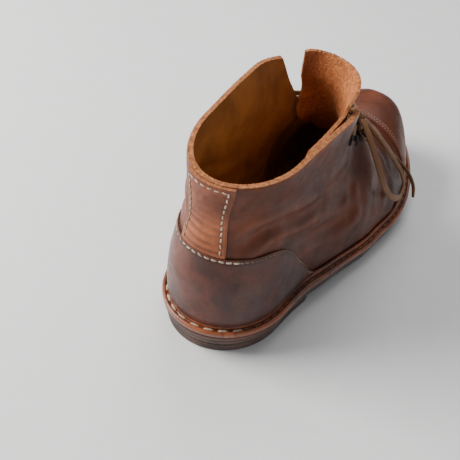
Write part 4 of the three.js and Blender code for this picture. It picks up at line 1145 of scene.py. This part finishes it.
def add_strip():
    columns = 44 * FINE
    rows = 70 * FINE
    across = np.linspace(-1, 1, columns)[None]
    t = np.linspace(0, 1, rows)[:, None]
    across, t = np.broadcast_arrays(across, t)
    s, up = strip_place(across, t)
    base = rear_point(s, up)
    normal = rear_normal(s, up)
    half = strip_half(t)
    rim = np.minimum((1 - np.abs(across)) * half, np.minimum(t, 1 - t + 0.04) * 52)
    drift = 2.4 * waves(base, 30, 41)
    folds = 0.16 * np.sin(up * 1.15 + drift) * smooth((0.66 - t) / 0.3) * smooth(rim / 4)
    folds = folds * smooth(0.5 + waves(base, 18, 45))
    fine = 0.09 * waves(base * np.array([0.5, 0.5, 3.2]), 9, 42) * smooth(rim / 4)
    groove = 0.3 * np.exp(-(((rim - 3.3) / 0.9) ** 2))
    thick = QUARTER_STEP + OVERLAY_GAP + OVERLAY - 0.35 * np.exp(-((rim / 0.7) ** 2))
    outer = base + normal * (thick - groove + folds + fine + 0.2 * waves(base, 40, 43))[..., None]
    inner = base + normal * (QUARTER_STEP - 0.3)
    # Trough: painted shade in the fold hollows and the stitch groove, plus darker patches in the upper half.
    trough = np.clip(-folds * 2.0, 0, 0.5) + 0.45 * np.exp(-(((rim - 3.3) / 0.9) ** 2))
    trough = np.maximum(trough, 0.6 * smooth((waves(base, 24, 46) - 0.05) / 0.3) * smooth((t - 0.35) / 0.4))
    # Lighter towards the foot, with a painted highlight on the fold crests, random patches and the worn rim.
    low = smooth((0.62 - t) / 0.5)
    wear_and_painted_light = np.clip(0.12 + 0.4 * low + folds * 1.8 + 0.5 * waves(base, 16, 44), 0, 1)
    wear_and_painted_light = np.maximum(wear_and_painted_light, 0.8 * np.exp(-(rim / 0.9)))
    item = shell("strip_cover", outer, inner, [STRIP, DARK_EDGE, EDGE], {"trough": trough, "wear_and_painted_light": wear_and_painted_light})
    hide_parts("heel_strip")


def add_tongue():
    columns = 44 * FINE
    rows = 54 * FINE
    low = THROAT_UP - TONGUE_TUCK
    top = float(corner_up(-1)) + TONGUE_RISE
    t = np.linspace(0, 1, rows)[:, None]
    k = np.linspace(1, -1, columns)[None]
    t, k = np.broadcast_arrays(t, k)
    up = mix(low, top, t)
    outer_up = float(corner_up(1))
    r = np.clip((outer_up - up) / (outer_up - THROAT_UP), 0, 1)
    opening = mix(COLLAR_GAP, THROAT_GAP, r**THROAT_FLARE)
    widest = level("half", up) * HEEL_WIDTH
    over = np.clip((up - outer_up) / (top - outer_up), 0, 1)
    inner_margin = mix(-TONGUE_SHOW, TONGUE_INNER_LAP, smooth(r / 0.6))
    margin = mix(inner_margin, TONGUE_OVERLAP, smooth(k * 3 + 0.5))
    half = np.minimum(opening + margin, widest * 0.97)
    x = half * np.sin(k * 1.4) / math.sin(1.4)
    corner = mix(TONGUE_INNER_CORNER, TONGUE_CORNER, smooth(k * 3 + 0.5)) * over * np.abs(k) ** 3
    origin, _, normal = instep_frame(x, up - corner)
    flare = np.zeros_like(origin)
    flare[..., 1] = TONGUE_LEAN * over**1.6
    edge = np.minimum(1 - np.abs(k), 1 - t) * 40
    rng = np.random.default_rng(17)
    bend = 0.5 * waves(origin, 42, 51) * smooth(t / 0.3)
    nap = rng.normal(0, 0.05, up.shape)
    rough_edge = rng.normal(0, 0.22, up.shape)[..., None] * unit(np.gradient(origin, axis=0))
    rough_edge = rough_edge * (edge < 0.6)[..., None]
    thin = 0.35 * np.exp(-edge / 1.2)
    front = origin + normal * (-WALL - TONGUE_CLEAR + bend * 0.5 - thin)[..., None] + flare + rough_edge
    rear_depth = -WALL - TONGUE_CLEAR - TONGUE + bend * 0.5 + thin + nap
    rear = origin + normal * rear_depth[..., None] + flare + rough_edge
    # Painted shade on the suede side: darker on the inner half's upper part and low down in the throat.
    shade = np.clip(0.9 * smooth((-k - 0.05) / 0.5) * smooth((t - 0.45) / 0.4), 0, 1)
    lower_shade = 0.6 * smooth((0.55 - t) / 0.4)
    attributes = {"trough": np.zeros_like(up), "wear_and_painted_light": np.maximum(shade * 0.75, lower_shade)}
    item = shell("tongue_flap", front, rear, [STRIP, SUEDE, EDGE], attributes)
    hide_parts("tongue")


def add_wing():
    """The tongue's outer wing, along the inside of the outer quarter; its top is a torn, soft edge."""
    columns = 40 * FINE
    rows = 22 * FINE
    t = np.linspace(0, 1, rows)[:, None]
    k = np.linspace(1, 0, columns)[None]
    t, k = np.broadcast_arrays(t, k)
    s = mix(WING_FRONT + 0.02, WING_BACK, k)
    top = collar_up(np.ones_like(s), s) - WING_DROP * smooth(k)
    up = top - WING_RISE * (1 - t)
    base = rear_point(s, up)
    normal = rear_normal(s, up)
    rng = np.random.default_rng(19)
    rough_edge = rng.normal(0, 0.16, up.shape) * (t > 0.985)
    inwards = WALL + TONGUE_CLEAR + TONGUE / 2 * k + 0.3 * waves(base, 30, 55)
    front = base - normal * inwards[..., None]
    rear = base - normal * (inwards + TONGUE)[..., None]
    front[..., 2] += rough_edge
    rear[..., 2] += rough_edge
    # Painted shade on the suede side: darker towards the wing's back, deeper inside the boot.
    attributes = {"trough": np.zeros_like(up), "wear_and_painted_light": 0.15 + 0.5 * smooth(k)}
    item = shell("tongue_wing", front, rear, [STRIP, SUEDE, EDGE], attributes)
    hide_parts("tongue")


# Sole

# Where the welt's two ends meet on the outer side of the heel, in the plan.
SPLICE = np.array([26.3, -33.2])


def outline(up, out, count, front=None):
    """The upper's outline at a height, grown outwards; with front it is cut straight there."""
    back = float(level("back", np.float64(up))) * HEEL_WIDTH - SEAT_BACK
    reach = float(front_at(up))
    whole = front is None or front >= reach
    if whole:
        t = np.linspace(0, 1, count + 1)
        y = mix(back, reach, (1 - np.cos(math.pi * t)) / 2)
        right = np.stack([centre_x(y) + half_width(1.0, y, up), y], axis=1)
        left = np.stack([centre_x(y) + -half_width(-1.0, y, up), y], axis=1)
        points = np.concatenate([right, left[-2:0:-1]])
        along = unit(np.roll(points, -1, axis=0) - np.roll(points, 1, axis=0))
        return points + np.stack([along[:, 1], -along[:, 0]], axis=1) * out
    t = np.linspace(0, 1, count + 1)
    y = mix(back, front, 1 - np.cos(math.pi / 2 * t))
    right = np.stack([centre_x(y) + half_width(1.0, y, up), y], axis=1)
    left = np.stack([centre_x(y) - half_width(-1.0, y, up), y], axis=1)
    points = np.concatenate([right, left[:0:-1]])
    along = unit(np.roll(points, -1, axis=0) - np.roll(points, 1, axis=0))
    push = np.stack([along[:, 1], -along[:, 0]], axis=1)
    push[count] = (1, 0)
    push[count + 1] = (-1, 0)
    return points + push * out


def ring(up, out, height, count, front=None):
    flat = outline(up, out, count, front)
    return np.stack([flat[:, 0], flat[:, 1], height(flat[:, 1]) + np.zeros(len(flat))], axis=1)


def stacked(name, rings, materials, closed, attributes=None):
    """A ring round the foot (closed) or a slab, through outlines of the same count."""
    rings = np.stack(rings)
    rows, n, _ = rings.shape
    bands = rows if closed else rows - 1
    i, j = (a.ravel() for a in np.meshgrid(np.arange(bands), np.arange(n), indexing="ij"))
    k, m = (i + 1) % rows, (j + 1) % n
    faces = [list(f) for f in np.stack([i * n + j, i * n + m, k * n + m, k * n + j], axis=1)]
    if not closed:
        faces.append(list(range(n - 1, -1, -1)))
        faces.append([(rows - 1) * n + q for q in range(n)])
    item = add_mesh(name, rings.reshape(-1, 3), faces, None, materials, attributes)
    if not closed:
        for face in item.data.polygons[-2:]:
            face.use_smooth = False
    return item


def add_welt():
    count = 110 * FINE
    groove = WELT - 1.3
    wall_out = GAP + LIP + 0.7
    corners = [
        (GAP, 0.0), (WELT_REACH - 0.7, 0.0), (WELT_REACH - 0.15, 0.5), (WELT_REACH, 1.2),
        (WELT_REACH, 0.6 * WELT), (WELT_REACH - 0.25, 0.82 * WELT), (WELT_REACH - 0.9, 0.97 * WELT),
        (WELT_REACH - 1.7, WELT + 0.1), (WELT_REACH - 2.4, WELT - 0.1), (WELT_REACH - 2.9, groove + 0.3),
        (WELT_REACH - 3.2, groove), (wall_out + 0.25, groove), (wall_out + 0.05, groove + 0.6),
        (wall_out, LIP_HEIGHT - 2.4), (wall_out - 0.15, LIP_HEIGHT - 1.2), (wall_out - 0.6, LIP_HEIGHT - 0.3),
        (wall_out - 1.5, LIP_HEIGHT + 0.15), (GAP + 0.9, LIP_HEIGHT + 0.1), (GAP + 0.35, LIP_HEIGHT - 0.25),
        (GAP, LIP_HEIGHT * 0.5),
    ]
    rings = []
    wear_and_painted_light = []
    trough = []
    for out, up in corners:
        line = ring(up, out, lambda y: feather(y) + up, count)
        wobble = 0.12 * waves(line, 21, 61) + 0.06 * waves(line, 6, 62)
        line[:, 2] += wobble * (0.3 if up < 1 else 1.0)
        rings.append(line)
        # Lighter: a painted highlight and wear on the crests, random patches, less forward of the splice on
        # the outer side, and more at the splice's ends.
        crest = up > LIP_HEIGHT - 1.5 or (out > WELT_REACH - 2.5 and up > 0.7 * WELT)
        patch = 0.5 + 0.5 * smooth((waves(line, 55, 63) + 0.1) / 0.4)
        splice = np.linalg.norm(line[:, :2] - SPLICE, axis=1)
        past = smooth((line[:, 1] - SPLICE[1]) / 30) * (line[:, 0] > 0)
        wear_and_painted_light.append((0.72 if crest else 0.30) * patch * (1 - 0.55 * past) + 0.4 * (splice < 3.0))
        # Trough: a dark line round the splice cut, and painted shade in the stitch groove.
        cut = 0.9 * np.exp(-(((splice - 4.2) / 0.7) ** 2))
        trough.append(np.maximum(cut, 0.85 if up == groove else 0.0))
    attributes = {"wear_and_painted_light": np.concatenate(wear_and_painted_light), "trough": np.concatenate(trough)}
    item = stacked("welt_strip", rings, [WELT_LEATHER], True, attributes)
    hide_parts("welt")


def add_soles():
    count = 110 * FINE
    top = lambda y: feather(y) - GAP
    bottom = lambda y: top(y) - MIDSOLE
    rings = [
        ring(0, WELT_REACH - 1.5, bottom, count),
        ring(0, WELT_REACH - 1.2, lambda y: bottom(y) + 0.15, count),
        ring(0, WELT_REACH - 0.7, lambda y: bottom(y) + 1.4, count),
        ring(0, WELT_REACH - 0.45, lambda y: top(y) - 1.2, count),
        ring(0, WELT_REACH - 0.7, lambda y: top(y) - 0.4, count),
        ring(0, WELT_REACH - 1.2, top, count),
    ]
    item = stacked("midsole_leather_board", rings, [MIDSOLE_EDGE], False)
    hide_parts("midsole")
    low = lambda y: sole_under(y)
    high = lambda y: feather(y) - 1.6 * GAP - MIDSOLE
    rings = [
        ring(0, WELT_REACH - 4.4, low, count),
        ring(0, WELT_REACH - 3.3, lambda y: low(y) + 0.3, count),
        ring(0, WELT_REACH - 2.8, lambda y: low(y) + 1.2, count),
        ring(0, WELT_REACH - 2.0, lambda y: mix(low(y), high(y), 0.6), count),
        ring(0, WELT_REACH - 1.3, lambda y: high(y) - 0.15, count),
        ring(0, WELT_REACH - 1.5, high, count),
    ]
    item = stacked("outsole_board", rings, [RUBBER], False)
    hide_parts("outsole")
    front = HEEL_LENGTH - SEAT_BACK
    rings = [
        ring(0, WELT_REACH - 4.6, lambda y: 0 * y, count // 2, front - 1.5),
        ring(0, WELT_REACH - 4.0, lambda y: 0 * y + 0.5, count // 2, front - 0.9),
        ring(0, WELT_REACH - 3.7, lambda y: 0 * y + 1.4, count // 2, front - 0.6),
        ring(0, WELT_REACH - 3.1, lambda y: sole_under(y) - 0.2, count // 2, front),
        ring(0, WELT_REACH - 3.3, sole_under, count // 2, front - 0.3),
    ]
    item = stacked("heel_block", rings, [RUBBER], False)
    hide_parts("heel_lift")
    inset = WALL + 2 * GAP
    rings = [
        ring(0, -inset, lambda y: feather(y), count),
        ring(INSOLE - 0.6, -inset, lambda y: feather(y) + INSOLE - 0.6, count),
        ring(INSOLE, -inset - 0.6, lambda y: feather(y) + INSOLE, count),
    ]
    item = stacked("insole_board", rings, [LINING], False)
    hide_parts("insole")


# Lacing


def facing_frame(side, rise):
    """A place on the facing, a set way back from the throat's edge."""
    y, up, _ = facing_edge(side, 1 - rise)
    y, up = float(y), float(up)
    run = 0.0
    step = 0.5
    back = y
    while run < EYELET_INSET:
        run += float(np.linalg.norm(surface(side, back, up) - surface(side, back - step, up)))
        back -= step
    origin = surface(side, back, up)
    outward = unit(surface(side, back - step, up) - surface(side, back + step, up))
    upward = unit(surface(side, back, up + step) - surface(side, back, up - step))
    normal = unit(np.cross(upward, outward) * side)
    return {"origin": origin, "outward": outward, "upward": upward, "normal": normal, "up": up}


def facing_point(at, outward, upward, lift):
    return at["origin"] + at["outward"] * outward + at["upward"] * upward + at["normal"] * lift


def crossing_points(start, end, lift, count=5):
    """Places over the tongue between two points, held clear of the upper's own line."""
    points = []
    for t in np.linspace(0, 1, count + 2)[1:-1]:
        straight = mix(start, end, t)
        up = straight[2] - float(feather(straight[1]))
        x = straight[0] - float(centre_x(straight[1]))
        origin, _, normal = instep_frame(np.float64(x), np.float64(up))
        points.append(origin + normal * lift * math.sin(math.pi * t) ** 0.5)
    return points


def strand(name, points, normals_from):
    path = spline(np.array(points), 1.0)
    near = np.array([p for p, _ in normals_from])
    ways = np.array([n for _, n in normals_from])
    gap = np.linalg.norm(path[:, None] - near[None], axis=2)
    weight = 1 / (gap + 2.0) ** 3
    faces_to = unit((weight[:, :, None] * ways[None]).sum(axis=1))
    rings = sweep(path, faces_to, strap_section(LACE_WIDTH - 0.2, LACE_THICKNESS))
    item = tube(name, rings, [LACE], lace_attributes(rings.shape[0] * rings.shape[1]))
    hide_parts("lace_crossings")


def add_lacing():
    knot = np.array([14.8, 124.6, 101.4])
    eyelets = {side: facing_frame(side, EYELET_ROWS[0]) for side in (1, -1)}
    hooks = {side: [facing_frame(side, rise) for rise in HOOK_ROWS] for side in (1, -1)}
    left, right = eyelets[-1], eyelets[1]
    bar = [facing_point(left, 0, 0, -3.4), facing_point(left, 0, 0, 0.4), facing_point(left, -2.2, 0, 2.9)]
    bar += crossing_points(facing_point(left, -3, 0, 2), facing_point(right, -3, 0, 2), 2.3, 3)
    bar += [
        facing_point(right, -2.2, 0, 2.9),
        facing_point(right, 0, 0, 0.4),
        facing_point(right, 0, 0, -3.4),
    ]
    guides = [(e["origin"], e["normal"]) for e in (left, right)]
    middle = (left["origin"] + right["origin"]) / 2
    guides.append((middle, unit(left["normal"] + right["normal"])))
    strand("lace_bar", bar, guides)
    for side in (1, -1):
        at = eyelets[side]
        points = [
            facing_point(at, 0, 0, -WALL - 1.2),
            facing_point(at, -4, 3, -WALL - 1.3),
            facing_point(at, -EYELET_INSET, 8, -WALL - 1.0),
        ]
        ways = [(p, at["normal"]) for p in points]
        here = side
        last = points[-1]
        for row, _ in enumerate(HOOK_ROWS):
            here = -here
            hook = hooks[here][row]
            low = facing_point(hook, -5.0, -4.4, 2.5)
            lift = 1.7 if side > 0 else 3.2
            points += crossing_points(last, low, lift)
            points += [
                low,
                facing_point(hook, -1.8, -3.8, 2.4),
                facing_point(hook, -0.3, 0, 2.4),
                facing_point(hook, -1.8, 3.8, 2.4),
                facing_point(hook, -5.0, 4.4, 2.6),
            ]
            last = points[-1]
            ways.append((hook["origin"], hook["normal"]))
            ways.append((last, hook["normal"]))
        points += crossing_points(last, knot, 2.4, 6)
        points += [knot]
        strand("lace_strand_outer" if side > 0 else "lace_strand_inner", points, ways)


# Threads round the heel and in the welt


def add_stitches():
    overlay = QUARTER_STEP + OVERLAY_GAP + OVERLAY
    way = np.linspace(-0.97, 0.97, 500)
    s = way * COUNTER_END
    up = column(COUNTER_EDGE, "way", "up", np.abs(way)) * SHAFT_HEIGHT - 1.6
    up = np.maximum(up, LIP_HEIGHT + 4)
    normals = rear_normal(s, up)
    line = rear_point(s, up) + normals * (overlay + 0.0)
    bold = lambda v, rng: 0.33 < v < 0.62
    stitch_line("counter_thread", line, normals, 4.6, 3.7, 0.66, bold, wander=0.14)
    faint = lambda v, rng: not 0.33 < v < 0.62
    stitch_line("counter_thread_worn", line, normals, 3.2, 2.5, 0.5, faint, WORN_THREAD)

    t = np.linspace(0.03, 0.96, 160)
    for name, side_share, inset in (("a", -1, 3.2), ("b", 1, 3.6)):
        shares = side_share * (1 - inset / strip_half(t))
        s, up = strip_place(shares, t)
        normals = rear_normal(s, up)
        line = rear_point(s, up) + normals * (overlay + 0.0)
        stitch_line("strip_thread_" + name, line, normals, 3.9, 3.1, 0.58, wander=0.12)
    across = np.linspace(-0.80, 0.80, 80)
    s, up = strip_place(across, np.full(80, 0.945))
    normals = rear_normal(s, up)
    line = rear_point(s, up) + normals * overlay
    stitch_line("strip_thread_top", line, normals, 4.4, 3.2, 0.55, wander=0.12)

    out = (GAP + LIP + 0.95 + WELT_REACH - 3.2) / 2
    line = ring(WELT - 1.3, out, lambda y: feather(y) + WELT - 1.0, 220)
    normals = np.tile([0.0, 0.0, 1.0], (len(line), 1))
    near_heel = lambda v, rng: v < 0.05 or v > 0.9
    stitch_line("welt_thread", line, normals, 9.4, 6.6, 1.05, near_heel, wander=0.12)
    further = lambda v, rng: 0.05 <= v <= 0.9
    stitch_line("welt_thread_worn", line, normals, 7.2, 5.2, 0.8, further, DIRTY_THREAD)


def metal(name):
    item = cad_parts[name]
    item.data.materials.clear()
    item.data.materials.append(BLACK)
    bevel = item.modifiers.new("soft", "BEVEL")
    bevel.width = 0.0002
    bevel.segments = 2
    bevel.limit_method = "ANGLE"


def add_metal():
    for side in ("outer", "inner"):
        metal("eyelet_" + side + "_1")
        for row, _ in enumerate(HOOK_ROWS):
            metal("hook_" + side + "_" + str(row + 1))


add_quarters()
add_vamp()
add_counter()
add_strip()
add_tongue()
add_wing()
add_welt()
add_soles()
add_lacing()
add_stitches()
add_metal()

# Floor and light


def add_floor():
    floor = plain("floor", (0.80, 0.795, 0.79), (0.82, 0.815, 0.81), 0.75, 0.0)
    mesh = bpy.data.meshes.new("floor")
    mesh.from_pydata([(-30, -30, 0), (30, -30, 0), (30, 30, 0), (-30, 30, 0)], [], [(0, 1, 2, 3)])
    mesh.materials.append(floor)
    item = bpy.data.objects.new("floor", mesh)
    bpy.context.scene.collection.objects.link(item)


def add_light(name, place_at, aim, size, energy, colour):
    data = bpy.data.lights.new(name, "AREA")
    data.size = size
    data.energy = energy
    data.color = colour
    item = bpy.data.objects.new(name, data)
    way = Vector(aim) - Vector(place_at)
    item.matrix_world = Matrix.Translation(place_at) @ way.to_track_quat("-Z", "Y").to_matrix().to_4x4()
    bpy.context.scene.collection.objects.link(item)


add_floor()
world = bpy.data.worlds.new("studio")
world.use_nodes = True
world.node_tree.nodes["Background"].inputs["Color"].default_value = (0.93, 0.97, 1.0, 1.0)
world.node_tree.nodes["Background"].inputs["Strength"].default_value = 0.36
bpy.context.scene.world = world
add_light("key", (-0.95, -0.45, 0.8), (0.0, 0.09, 0.05), 0.8, 34, (1.0, 0.985, 0.96))
add_light("top", (-0.25, 0.55, 1.2), (0.0, 0.09, 0.05), 0.8, 8, (1.0, 1.0, 1.0))
